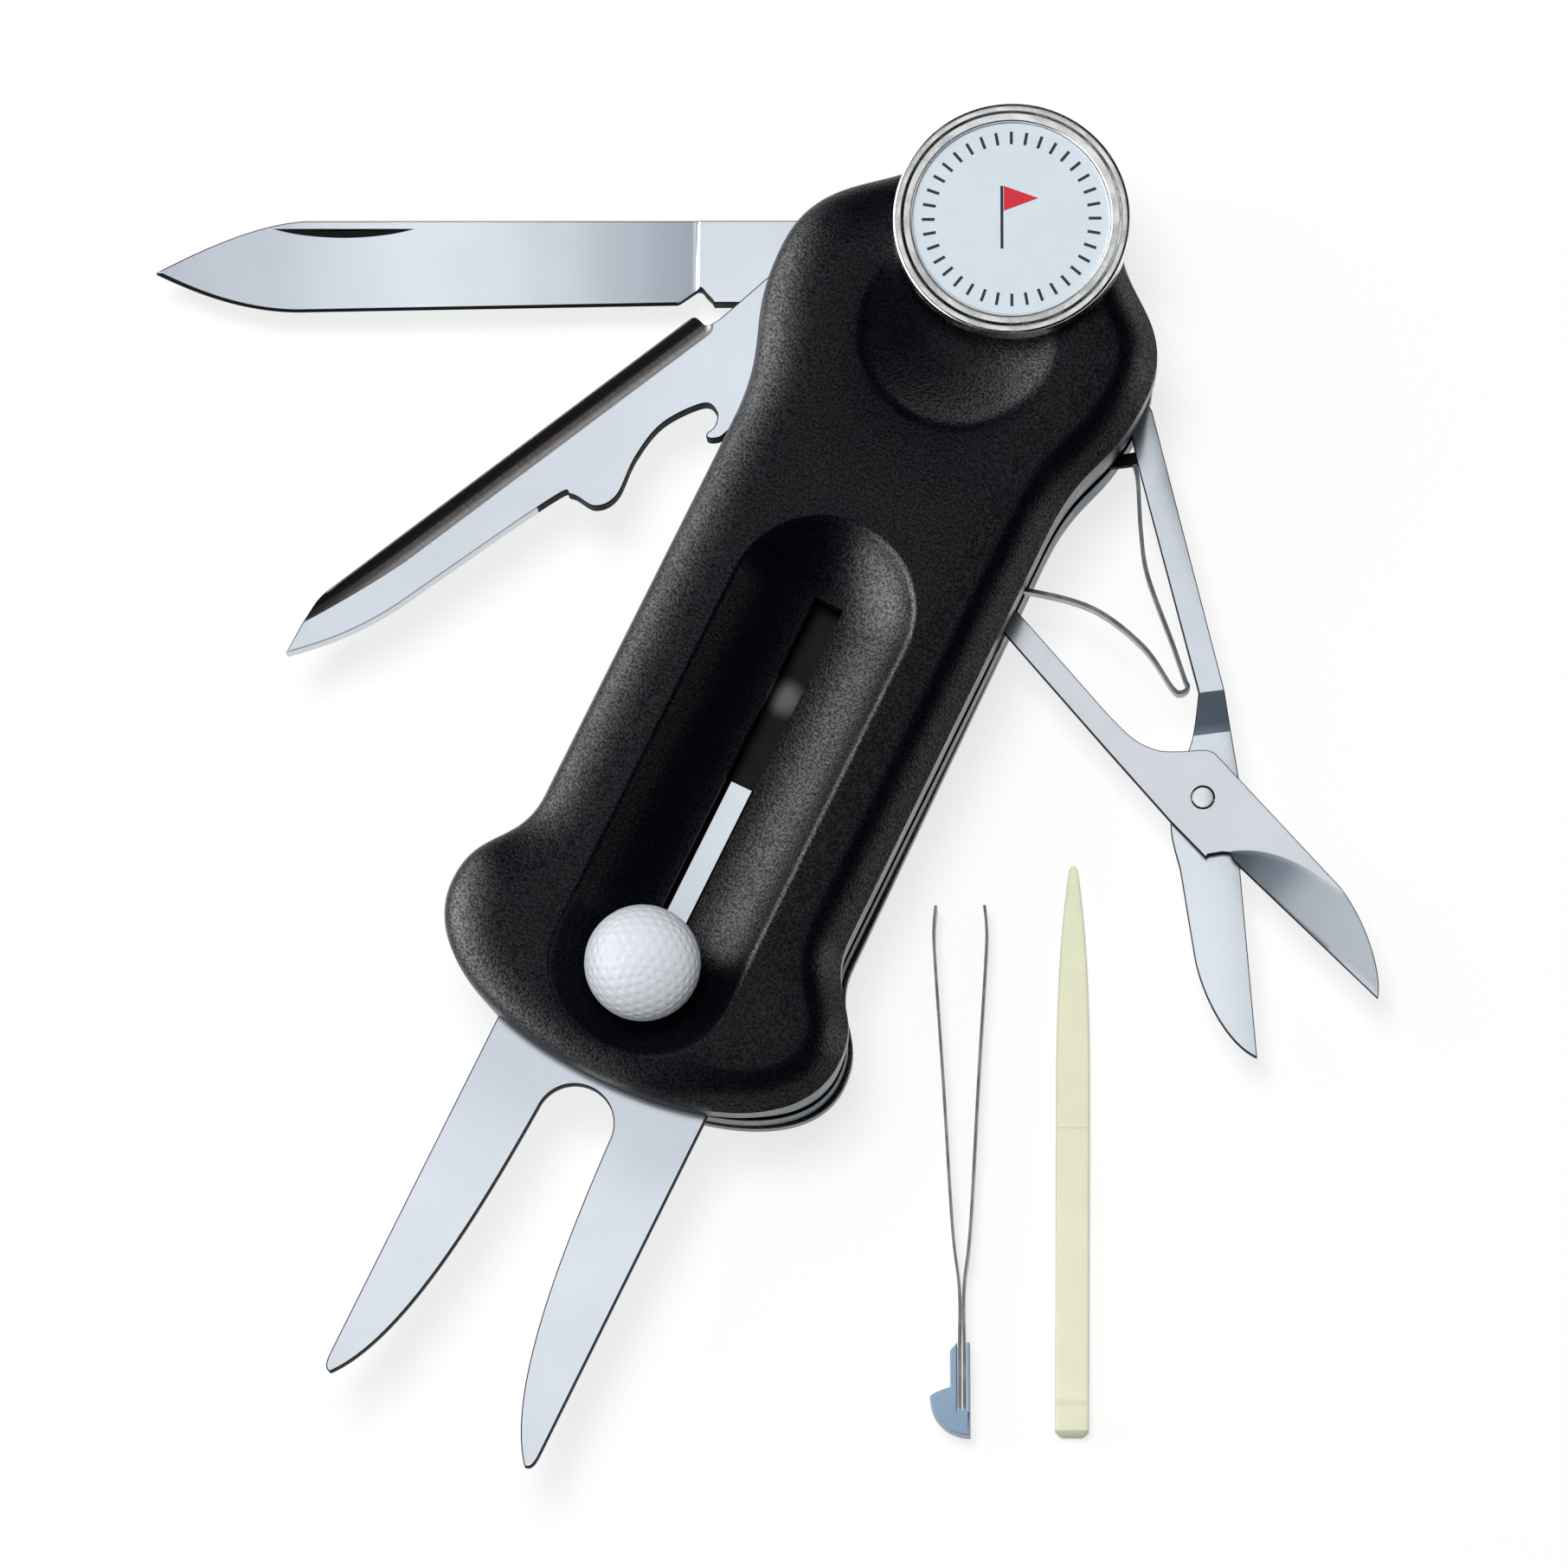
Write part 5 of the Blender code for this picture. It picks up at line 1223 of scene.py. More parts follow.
class GOLFTOOL_OT_fittings(bpy.types.Operator):
    """Finish the rivets and the marker's magnet"""

    bl_idname = "golftool.fittings"
    bl_label = "Rivets and magnet"

    def execute(self, context):
        brass = metal_material("brass_rivet", (0.72, 0.55, 0.26), 0.3)
        for name in PINS:
            finish_node(name, brass)
        finish_node("marker_magnet", metal_material("magnet_nickel", (0.2, 0.2, 0.21), 0.4))
        finish_node("slider_stem", spring_steel())
        return {"FINISHED"}


# Sliding fork

def fork_outline():
    """The fork from above, with its stem at the origin."""
    half_width, reach, tip_round = 9.85, 41.8, 0.7
    gap_half, gap_length = 3.35, 31.2
    root_half, root_end, shoulder, corner = 1.05, 18.3, 3.9, 1.0
    arch = (0.0, -reach + gap_length - gap_half)
    tip = (half_width - tip_round, -reach)
    gap = (gap_half, arch[1])
    drop = gap[1] - tip[1]
    spread_out = tip[0] - gap[0]
    half = [(0.0, root_end), (root_half, root_end), (root_half, shoulder), (half_width - corner, shoulder)]
    half += arc((half_width - corner, shoulder - corner), corner, 90.0, 0.0, 8)[1:]
    half += [(half_width, -reach + 2 * tip_round)]
    half += bezier(half[-1], (half_width, -reach + 0.7 * tip_round), (tip[0] + 0.5, -reach), tip, 8)
    bow = (gap[0] + 0.27 * spread_out, gap[1] - 0.82 * drop)
    lean = (gap[0] + 0.09 * spread_out, gap[1] - 0.37 * drop)
    half += bezier(tip, bow, lean, gap, 40)
    half += arc(arch, gap_half, 0.0, 90.0, 24)[1:-1]
    half += [(0.0, arch[1] + gap_half)]
    return mirrored(half)


def dimple_centres():
    """Points spread evenly over the ball: an icosahedron's faces divided into small triangles."""
    work = bmesh.new()
    bmesh.ops.create_icosphere(work, subdivisions=1, radius=1.0)
    spots = {}
    for face in work.faces:
        a, b, c = (v.co for v in face.verts)
        for i in range(DIMPLE_ROW + 1):
            for j in range(DIMPLE_ROW + 1 - i):
                point = (a * i + b * j + c * (DIMPLE_ROW - i - j)).normalized() * BALL_RADIUS
                spots[tuple(round(part, 3) for part in point)] = tuple(point)
    work.free()
    mesh = bpy.data.meshes.new("dimple_centres")
    mesh.from_pydata(list(spots.values()), [], [])
    mesh.transform(Matrix.Rotation(0.35, 4, "X") @ Matrix.Rotation(0.2, 4, "Y"))
    return mesh


class GOLFTOOL_OT_fork(bpy.types.Operator):
    """Build the divot fork and its golf-ball button"""

    bl_idname = "golftool.fork"
    bl_label = "Fork and ball"

    def execute(self, context):
        loops = [fork_outline(), circle((0.0, 0.0), STEM_FOOT_RADIUS + RUN_GAP)]
        mesh = placed(made(plate(loops, FORK, size_of("edge_round")), "fork"), STEM)
        face = steel_material("fork_steel", STEM, 0.0, FORK_TONES)
        add_piece("fork_plate", mesh, [face, painted_dark_edge()], "fork", ["fork"])
        white = plastic_material("ball_white", colour_of("ball"), 0.38, 0.004, 0.0, 1.02)
        values = {
            "Radius": BALL_RADIUS,
            "Dimple Width": size_of("dimple_width"),
            "Dimple Depth": size_of("dimple_depth"),
            "Flat": BALL_FLAT,
            "Material": white,
        }
        ball = grown(ball_tree(), dimple_centres(), values)
        bore = circle((0.0, 0.0), STEM_RADIUS + RUN_GAP)
        ball = cut(ball, plate([bore], (BALL_FLAT - 2.0, BALL_FLAT + BALL_SOCKET), 0.1), sharp=40.0)
        add_piece("slider_ball_dimpled", placed(ball, (*STEM, BALL_HEIGHT)), [white], "fork",
                  ["slider_ball"])
        return {"FINISHED"}


# Folding tools

def plunge(depth, run, y, start):
    """How far a hollow has sunk at y: it starts steeply and flattens out."""
    share = min(max((start - y) / run, 0.0), 1.0)
    return depth * math.sqrt(1.0 - (1.0 - share) ** 2)


def blade_outline():
    """The blade, folded: spine left, edge right, point down; and the line of its cutting edge."""
    reach, spine, belly, heel, tang = 61.3, BLADE_SPINE, BLADE_BELLY, 2.94, 4.5
    spine_y, belly_y, heel_y = -47.7, -48.7, -15.75
    tip = (0.16, -reach)
    spine_end = (-spine, spine_y)
    tang_low = -math.degrees(math.acos(heel / tang))
    tang_end = 180.0 + math.degrees(math.acos(spine / tang))
    drop = reach + spine_y
    rise = reach + belly_y
    outline = arc((0.0, 0.0), tang, tang_low, tang_end, 64) + [spine_end]
    outline += bezier(spine_end, (-spine, spine_y - 0.3 * drop), (-0.5 * spine, spine_y - 0.67 * drop), tip, 28)
    leads = (0.45 * belly, 0.24 * rise - reach), (belly, 0.58 * rise - reach)
    belly_side = [tip] + bezier(tip, *leads, (belly, belly_y), 28) + [(heel, heel_y)]
    outline += belly_side[1:]
    notch = ((0.0, heel_y), (0.35, -15.2), (0.8, -14.6), (1.3, -13.9), (1.4, -13.72), (1.25, -13.6),
             (1.05, -13.45), (0.55, -13.1), (0.4, -12.75), (0.0, -12.6))
    notch = [(heel - inward, y) for inward, y in notch]
    for first, steps in ((0, 8), (3, 6), (6, 8)):
        outline += bezier(*notch[first:first + 4], steps)
    return outline, belly_side


def blade_mesh():
    """The blade: both faces ground down to the edge, honed along it, with a nail nick by the spine."""
    outline, belly_side = blade_outline()
    bevel = size_of("edge_bevel")
    rounding = size_of("edge_round")
    work = plate([outline, circle((0.0, 0.0), PIN_RADIUS + RUN_GAP)], BLADE, rounding, bevel)
    start, run, hone_depth = -13.85, 0.45, 0.16
    grind = [start - run * (1 - math.cos(a)) for a in angles(0.0, 90.0, 8)]
    sliced(work, 1, grind + [start - run - 0.05, start - run - 0.1])
    bottom, top = BLADE
    edge = np.array(belly_side)

    def honed(x, y):
        spot = np.array((x, y))
        span = edge[1:] - edge[:-1]
        t = np.clip(np.sum((spot - edge[:-1]) * span, 1) / np.sum(span * span, 1), 0.0, 1.0)
        away = np.min(np.linalg.norm(spot - edge[:-1] - t[:, None] * span, axis=1))
        return hone_depth * max(1.0 - away / bevel, 0.0)

    def depth(x, y):
        ground = 0.1 + 0.7 * (x + BLADE_SPINE) / (BLADE_SPINE + BLADE_BELLY)
        return plunge(ground, run, y, start) + (honed(x, y) if y < start else 0.0)

    reshaped(work, BLADE, lambda x, y: bottom + depth(x, y), lambda x, y: top - depth(x, y))
    # The honed bevel is given the painted dark edge material: painted dark reflection along the cutting edge
    for face in work.faces:
        x, y, _ = face.calc_center_median()
        if y < start and honed(x, y) > hone_depth / 4:
            face.material_index = 1
    mesh = made(work, "blade")
    chord, rise, length, first = -3.72, 0.85, 12.5, -38.7
    bend = (length ** 2 / 4 + rise ** 2) / (2 * rise)
    points = []
    for t in np.linspace(-1.0, 1.0, 33):
        y = first - length / 2 + t * length / 2
        bulge = math.sqrt(bend ** 2 - (t * length / 2) ** 2) - bend + rise
        face = top - depth(chord, y)
        points += [(chord, y, face - 0.55 * (1 - t * t)), (chord, y, top + 1.0)]
        points += [(chord + bulge, y, face - 0.04), (chord + bulge, y, top + 1.0)]
    mesh = cut(mesh, hull(points))
    # The nick's sunk faces are given the painted dark edge material: painted shade in the nick
    for face in mesh.polygons:
        x, y, z = face.center
        in_nick = chord - 0.01 < x < chord + rise and first - length < y < first
        sunk_in = (bottom + top) / 2 + 0.1 < z < top - depth(x, y) - 0.004
        if in_nick and sunk_in and face.normal.z > -0.2:
            face.material_index = 1
    return mesh


def opener_outline():
    """The opener, folded: its back at the left and its point down."""
    reach, back, bump_y, hook = 60.0, OPENER_BACK, 30.4, -19.4
    tip = (-2.2, -reach)
    lifter = through([
        (0.3, -0.83 * reach), (0.95, -bump_y - 3.8), (1.7, -bump_y - 1.9), (3.8, -bump_y - 0.9),
        (4.2, -bump_y + 1.2), (2.5, -bump_y + 4.5), (1.56, -22.3), (2.3, hook + 0.9), (3.6, hook + 1.4),
        (4.45, hook + 0.6), (4.55, hook - 0.3),
    ])
    outline = arc((0.0, 0.0), 4.5, -27.0, 180.0 + math.degrees(math.asin(2.8 / 4.5)), 64)
    outline += [(-2.8, -12.69)]
    outline += bezier((-2.8, -12.69), (-2.8, -13.6), (-3.0, -14.1), (-3.5, -14.15), 6)
    outline += bezier((-3.5, -14.15), (-4.0, -14.2), (-back, -14.3), (-back, -14.9), 6)
    corner = (-back, -53.9)
    side = reach + corner[1]
    lead = (tip[0] - 0.9, tip[1] + 0.35 * side)
    outline += [corner] + bezier(corner, (-back, corner[1] - 0.3 * side), lead, tip, 12)
    outline += bezier(tip, (tip[0] + 0.9, tip[1] + 2.2), (0.0, tip[1] + 5.5), lifter[0], 16)
    outline += lifter[1:]
    outline += bezier(lifter[-1], (4.7, hook - 0.9), (5.3, hook - 0.6), (5.6, hook + 0.4), 8)
    return outline


def opener_mesh():
    """The opener with the cleaner's trough along its back."""
    loops = [opener_outline(), circle((0.0, 0.0), PIN_RADIUS + RUN_GAP)]
    mesh = made(plate(loops, OPENER, size_of("edge_round")), "opener")
    top = OPENER[1]
    radius, depth, rim = 1.15, 0.6, 0.12
    low, high = -58.2, -14.4
    half = math.sqrt(radius ** 2 - (radius - depth) ** 2)
    middle = -OPENER_BACK + rim + half
    end = arc((0.0, high), radius, 0.0, 90.0, 11)
    trough = turned([(0.0, low), (radius, low)] + end[:-1] + [(0.0, high + radius)], 64)
    where = Matrix.Translation((middle, 0.0, top + radius - depth))
    trough.transform(where @ Matrix.Rotation(-math.pi / 2, 4, "X"))
    taper_start, taper_run, taper_share = -46.0, 12.0, 0.62
    sliced(trough, 1, np.linspace(taper_start - 11.0, taper_start - 1.0, 11))
    for vert in trough.verts:
        share = 1.0 - taper_share * min(max((taper_start - vert.co.y) / taper_run, 0.0), 1.0) ** 1.5
        vert.co.x = middle - half + (vert.co.x - middle + half) * share
        vert.co.z = top + (vert.co.z - top) * share
    mesh = cut(mesh, trough)
    for face in mesh.polygons:
        x, y, z = face.center
        if abs(x - middle) < half and y < -12.0 and top - 0.7 < z < top - 0.01 and face.normal.z > 0.05:
            face.material_index = 2
        # The wall below the lifter is as bright as the face
        if y < -35.0 and x > -2.2 and face.material_index == 1:
            face.material_index = 0
    return mesh


def scissors_outline():
    """The fixed scissors blade, folded: its tang at the origin and its point down."""
    tang = arc((0.0, 0.0), 3.7, 15.0, 306.0, 64)
    tip = (-0.34, -47.9)
    shoulder = RIVET[1] + 1.8
    inner = [
        (0.36, -16.5), (-0.66, RIVET[1] + 0.7), (-1.0, RIVET[1] - 3.7), (-0.7, RIVET[1] - 3.6),
        (0.3, RIVET[1] - 4.4), (0.66, RIVET[1] - 4.9), (0.4, RIVET[1] - 5.6),
    ]
    belly = bezier(tip, (1.4, tip[1] + 1.0), (3.9, tip[1] + 4.8), (4.7, tip[1] + 8.7), 24)
    neck = through([
        (6.3, shoulder), (5.9, shoulder + 0.85), (4.45, shoulder + 2.3), (3.2, shoulder + 3.9),
        (2.6, shoulder + 6.1), (2.75, shoulder + 9.1),
    ])
    return tang + inner + [tip] + belly + neck + [(4.3, -2.6), (4.2, -1.0)]


def scissors_mesh():
    """The fixed scissors blade with its hollow-ground half."""
    loops = [scissors_outline(), circle((0.0, 0.0), PIN_RADIUS + RUN_GAP)]
    loops += [circle(RIVET, RIVET_RADIUS + RUN_GAP)]
    work = plate(loops, FIXED_BLADE, 0.8 * size_of("edge_round"))
    bottom, top = FIXED_BLADE
    sliced(work, 1, np.arange(-47.6, HOLLOW_START + 0.2, 0.4))
    sliced(work, 0, np.arange(-0.4, 5.2, 0.4))

    def high(x, y):
        share = min(max(hollow_border(y) - x, 0.0) / (HOLLOW_BORDER + HOLLOW_SPAN), 1.0)
        return top - HOLLOW_DEPTH * share if y < HOLLOW_START else top

    reshaped(work, FIXED_BLADE, lambda x, y: bottom, high)
    return made(work, "scissors_blade")


def hollow_border(y):
    """Where the scissors blade's hollow grind starts across the blade."""
    return HOLLOW_BORDER + HOLLOW_SPAN * (1.0 - math.exp((y - HOLLOW_START) / HOLLOW_RUN))


def lever_outline():
    """The scissors' lever, closed, with its rivet at the origin: its blade down and its thumb arm up."""
    blade, arm_reach, width = 22.7, 35.3, 2.2
    point = (1.7, -blade)
    edge = bezier((-2.45, -0.6 * blade), (-2.2, -0.75 * blade), (-0.6, -0.94 * blade), point, 24)
    end = (0.1, arm_reach - 1.2)
    left = end[0] - width
    crown = arc((end[0] - width / 2, end[1]), width / 2, 0.0, 180.0, 24)
    foot = 0.86 * arm_reach
    arm = [(left + 0.25, foot + 0.6), (-4.15, foot + 0.5), (-4.15, foot - 0.5), (left + 0.35, foot - 0.5)]
    neck = through([(3.05 - width, 9.3), (-0.2, 5.4), (-1.6, 2.6), (-3.0, -1.7), (-2.7, -5.8)])
    neck += [(-2.45, -0.6 * blade)]
    heel = [(2.35, -6.8), (2.9, -3.0), (3.3, 1.3), (3.05, 9.0)]
    return crown + arm + neck + edge + heel


def lever_mesh():
    """The lever: half thick at its blade, with a hollow ramp up to the arm and a thinned thumb end."""
    loops = [lever_outline(), circle((0.0, 0.0), RIVET_RADIUS + RUN_GAP)]
    work = plate(loops, LEVER, 0.8 * size_of("edge_round"))
    bottom = LEVER[0]
    low, bend, high, thinned = 5.6, 6.6, 9.15, 28.0
    rise = LEVER_CREST - LEVER_LOW
    slope = rise / (high - (low + bend) / 2)
    sliced(work, 1, list(np.linspace(low, bend, 7)) + [high, high + 0.001, thinned])

    def surface(x, y):
        if y < low:
            return LEVER_LOW
        if y < bend:
            return LEVER_LOW + slope * (y - low) ** 2 / (2 * (bend - low))
        if y < high + 0.0005:
            return LEVER_LOW + slope * (y - (low + bend) / 2)
        return LEVER_CREST - rise * min((y - high) / (thinned - high), 1.0)

    reshaped(work, LEVER, lambda x, y: bottom, surface)
    work.normal_update()
    for face in work.faces:
        x, y, _ = face.calc_center_median()
        # The ramp's face gets the ramp material, painted almost black as a painted dark reflection
        if low < y < high and face.normal.z > 0.3 and face.material_index == 0:
            face.material_index = 2
        # The foot that the spring pushes on is dark all round
        if x < -2.0 and y > 29.0:
            face.material_index = 1
    return made(work, "scissors_lever")


def hairpin_path():
    """The scissors' return spring, folded: from the tang round a tight bend to the lever's foot."""
    return through([
        (4.2, 0.6), (6.4, -2.2), (8.86, -7.3), (9.23, -12.7), (8.2, -16.9), (8.35, -17.8), (9.1, -17.95),
        (9.5, -17.2), (11.1, -14.4), (14.1, -8.9), (16.6, -5.9), (19.8, -2.7), (20.68, -1.55),
    ], 8)


class GOLFTOOL_OT_blade(bpy.types.Operator):
    """Build the pen blade"""

    bl_idname = "golftool.blade"
    bl_label = "Blade"

    def execute(self, context):
        face = steel_material("blade_steel", BLADE_PIVOT, BLADE_TURN, BLADE_TONES)
        mesh = placed(blade_mesh(), BLADE_PIVOT, BLADE_TURN)
        add_piece("blade_ground", mesh, [face, painted_dark_edge()], "blade", ["blade"])
        return {"FINISHED"}


class GOLFTOOL_OT_opener(bpy.types.Operator):
    """Build the opener with the groove cleaner"""

    bl_idname = "golftool.opener"
    bl_label = "Opener"

    def execute(self, context):
        face = steel_material("opener_steel", BLADE_PIVOT, OPENER_TURN, OPENER_TONES)
        trough = trough_material("trough_steel", BLADE_PIVOT, OPENER_TURN)
        mesh = placed(opener_mesh(), BLADE_PIVOT, OPENER_TURN)
        add_piece("opener_blade", mesh, [face, painted_dark_edge(), trough], "opener", ["opener"])
        return {"FINISHED"}


class GOLFTOOL_OT_scissors(bpy.types.Operator):
    """Build the folding scissors with their lever, rivet and spring"""

    bl_idname = "golftool.scissors"
    bl_label = "Scissors"

    def execute(self, context):
        face = steel_material("scissors_steel", SCISSORS_PIVOT, SCISSORS_TURN, HOLLOW_TONES,
                        hollow=True, shine=SCISSORS_SHINE)
        mesh = placed(scissors_mesh(), SCISSORS_PIVOT, SCISSORS_TURN)
        add_piece("scissors_fixed", mesh, [face, painted_dark_edge()], "scissors", ["scissors_blade"])
        bottom, top = SCISSORS
        profile = [(0.0, bottom), (RIVET_RADIUS, bottom)]
        dome = angles(90.0, 9.0, 9)
        profile += [(RIVET_RADIUS * math.sin(a), top + RIVET_DOME * math.cos(a)) for a in dome]
        profile += [(0.0, top + RIVET_DOME)]
        rivet = made(turned(profile, 48), "scissors_rivet", 50.0)
        rivet.transform(Matrix.Translation((*RIVET, 0.0)))
        bright = metal_material("rivet_steel", (0.88, 0.9, 0.94), 0.13, 0.4)
        add_piece("scissors_rivet_head", placed(rivet, SCISSORS_PIVOT, SCISSORS_TURN), [bright], "scissors",
                  ["scissors_rivet"])
        turn = SCISSORS_TURN + LEVER_TURN
        place = tuple(part / MM for part in in_place(RIVET, SCISSORS_PIVOT, SCISSORS_TURN, SCISSORS)[:2])
        arm = steel_material("lever_steel", place, turn, LEVER_TONES)
        # The ramp's material is painted almost black: a painted dark reflection
        ramp = steel_material("ramp_steel", place, turn, RAMP_TONES, rough=0.3)
        mesh = placed(lever_mesh(), place, turn)
        add_piece("scissors_lever_arm", mesh, [arm, painted_dark_edge(), ramp], "scissors_lever",
                  ["scissors_lever"])
        spring = strip_mesh(hairpin_path(), HAIRPIN_THICKNESS, HAIRPIN_LEVEL, spring_steel())
        bend = [in_place(point, SCISSORS_PIVOT, SCISSORS_TURN, SCISSORS) for point in HAIRPIN_BEND]
        add_piece("scissors_hairpin", placed(spring, SCISSORS_PIVOT, SCISSORS_TURN), [spring_steel()],
                  ("scissors", "scissors_lever", *bend), ["scissors_spring"])
        return {"FINISHED"}


# Ball marker

def marker_profile():
    """The rim's section: a low bead, a shallow slope and a flat lip round the face's well."""
    bottom, top = MARKER_LEVEL
    well = FACE_RADIUS + RUN_GAP
    floor = FACE_LEVEL - FACE_THICKNESS - RUN_GAP
    crest = through([
        (well, top - 0.2), (well + 0.07, top - 0.1), (well + 0.2, top - 0.075), (well + 0.6, top - 0.065),
        (well + 0.7, top - 0.06), (well + 0.92, top - 0.012), (well + 1.04, top - 0.003), (well + 1.25, top),
        (well + 1.42, top - 0.015), (well + 1.54, top - 0.07), (MARKER_RADIUS - 0.02, top - 0.2),
        (MARKER_RADIUS, top - 0.5),
    ], 4)
    low = arc((MARKER_RADIUS - 0.5, bottom + 0.5), 0.5, 0.0, -90.0, 8)
    return [(0.0, floor), (well, floor)] + crest + low + [(0.0, bottom)]


def print_mesh(outline, level):
    """A thin raised print."""
    return plate([outline], level, 0.004, steps=1)


class GOLFTOOL_OT_marker(bpy.types.Operator):
    """Build the lift-off ball marker"""

    bl_idname = "golftool.marker"
    bl_label = "Ball marker"

    def execute(self, context):
        chrome = metal_material("marker_chrome", (0.86, 0.88, 0.89), 0.18, 0.8)
        rim = made(turned(marker_profile(), 160), "marker_rim", 35.0)
        add_piece("marker_rim_bead", placed(rim, BOSS), [chrome], "marker", ["marker_rim"])
        enamel = plastic_material("marker_enamel", colour_of("face"), 0.18, 0.002, 0.15, 1.02)
        top = FACE_LEVEL
        profile = [(0.0, top - FACE_THICKNESS), (FACE_RADIUS, top - FACE_THICKNESS)]
        profile += [(FACE_RADIUS, top - 0.15), (FACE_RADIUS - 0.15, top), (0.0, top)]
        face = made(turned(profile, 160), "marker_face", 20.0)
        add_piece("marker_face", placed(face, BOSS), [enamel], "marker", ["marker_insert"])
        ink = plastic_material("marker_ink", colour_of("ink"), 0.3, 0.002)
        red = plastic_material("marker_pennant", colour_of("pennant"), 0.3, 0.002)
        height = size_of("print_height")
        level = (top - height, top + height)
        pole = [(-0.95, -2.6), (-0.7, -2.6), (-0.7, 2.9), (-0.95, 2.9)]
        dark = made(print_mesh(pole, level), "pole")
        values = {
            "Count": 36, "Ring Radius": 7.1, "Length": size_of("tick_length"), "Width": 0.26,
            "Height": 2 * height, "Material": ink,
        }
        dark.transform(Matrix.Translation((0.0, 0.0, -top)))
        ring = grown(tick_tree(), dark, values)
        ring.transform(Matrix.Translation((0.0, 0.0, top)))
        add_piece("marker_dashes", placed(ring, BOSS, PRINT_TURN), [ink], "marker")
        flag = [(-0.66, 2.9), (-0.66, 0.7), (2.3, 1.8)]
        pennant = made(print_mesh(flag, level), "pennant")
        add_piece("marker_pennant", placed(pennant, BOSS, PRINT_TURN), [red], "marker")
        return {"FINISHED"}


# Loose helpers

def leaf_path(side):
    """One leaf of the tweezers, from its root to its bent tip."""
    reach = 33.1
    root = side * 0.2
    wide = side * 2.25
    span = wide - root
    return through([
        (root, LEAF_ROOT), (root, -5.0), (root, 0.0), (root + 0.28 * span, 0.16 * reach),
        (root + 0.64 * span, 0.54 * reach), (root + 0.98 * span, 0.87 * reach), (wide, 0.95 * reach),
        (0.93 * wide, reach),
    ], 8)


def head_outline():
    """The tweezers' moulded head, with a slot for the leaves."""
    slot = 0.425
    wall = slot + 0.25
    top = -4.7
    root = LEAF_ROOT
    loop = [(wall, top), (slot, top), (slot, root - 0.3), (-slot, root - 0.3), (-slot, top)]
    loop += [(-1.0, top - 0.7), (-1.0, root + 1.7)]
    loop += bezier((-1.0, root + 1.7), (-1.6, root + 1.5), (-2.3, root + 1.3), (-2.74, root + 0.9), 8)
    return loop + bezier((-2.74, root + 0.9), (-2.74, root - 1.0), (-1.2, root - 2.4), (wall, root - 2.4), 20)


class GOLFTOOL_OT_tweezers(bpy.types.Operator):
    """Build the tweezers"""

    bl_idname = "golftool.tweezers"
    bl_label = "Tweezers"

    def execute(self, context):
        leaf_steel = metal_material("leaf_steel", (0.3, 0.32, 0.35), 0.24)
        bend = [in_place(point, TWEEZERS, TWEEZERS_TURN, LEAF_LEVEL) for point in LEAF_BEND]
        for name, side in (("tweezers_leaf_left", -1), ("tweezers_leaf_right", 1)):
            leaf = strip_mesh(leaf_path(side), LEAF_THICKNESS, LEAF_LEVEL, leaf_steel)
            add_piece(name + "_strip", placed(leaf, TWEEZERS, TWEEZERS_TURN), [leaf_steel],
                      ("tweezers", name, *bend), [name])
        grey = plastic_material("head_plastic", colour_of("grey"), 0.34)
        head = made(plate([head_outline()], HEAD_LEVEL, 0.18, steps=4), "tweezers_head", 30.0)
        add_piece("tweezers_head_moulded", placed(head, TWEEZERS, TWEEZERS_TURN), [grey, grey], "tweezers",
                  ["tweezers_head"])
        return {"FINISHED"}


def toothpick_mesh():
    """The toothpick: a rounded strip with a raised head, a step across it and a tapered point."""
    half, thickness, head, length = 1.45, 1.4, 2.2, 49.5
    stations = [(0.0, 0.62 * half, 0.55 * head), (0.15, 0.8 * half, 0.8 * head), (0.5, half, 0.97 * head)]
    stations += [(1.2, half, head), (2.3, half, head)]
    for t in np.linspace(0.1, 1.0, 8):
        stations.append((2.3 + 1.1 * t, half, head - (head - thickness) * (3 * t * t - 2 * t ** 3)))
    stations += [(y, half, thickness) for y in np.linspace(6.0, 26.3, 10)]
    stations += [(26.5, half, thickness), (26.6, half, thickness - 0.12), (26.75, half, thickness - 0.25)]
    start = (half, 0.6 * length)
    end = (0.4, length - 0.4)
    taper = bezier(start, (half, 0.8 * length), (0.7 * half, 0.9 * length), end, 24)
    for width, y in [start] + taper + [(0.2, length)]:
        share = (y - start[1]) / (length - start[1])
        stations.append((y, width, thickness - 0.25 * (1 + 2 * share)))
    work = bmesh.new()
    rings = []
    for y, width, height in stations:
        corner = min(0.28, 0.45 * width, 0.45 * height)
        ring = []
        for cx, cz, begin in ((1, 1, 0.0), (-1, 1, 90.0), (-1, 0, 180.0), (1, 0, 270.0)):
            centre = (cx * (width - corner), height - corner if cz else corner)
            ring += arc(centre, corner, begin, begin + 90.0, 5)
        rings.append([work.verts.new((x, y, z)) for x, z in ring])
    for first, second in zip(rings, rings[1:]):
        bridge(work, first, second, 0)
    for ring in (rings[0], rings[-1]):
        work.faces.new(ring)
    bmesh.ops.recalc_face_normals(work, faces=work.faces)
    return made(work, "toothpick", 35.0)


class GOLFTOOL_OT_toothpick(bpy.types.Operator):
    """Build the toothpick"""

    bl_idname = "golftool.toothpick"
    bl_label = "Toothpick"

    def execute(self, context):
        ivory = plastic_material("toothpick_ivory", colour_of("ivory"), 0.38, 0.006, 0.0, 1.05)
        mesh = placed(toothpick_mesh(), TOOTHPICK, TOOTHPICK_TURN)
        add_piece("toothpick_strip", mesh, [ivory], "toothpick", ["toothpick"])
        return {"FINISHED"}


# Studio

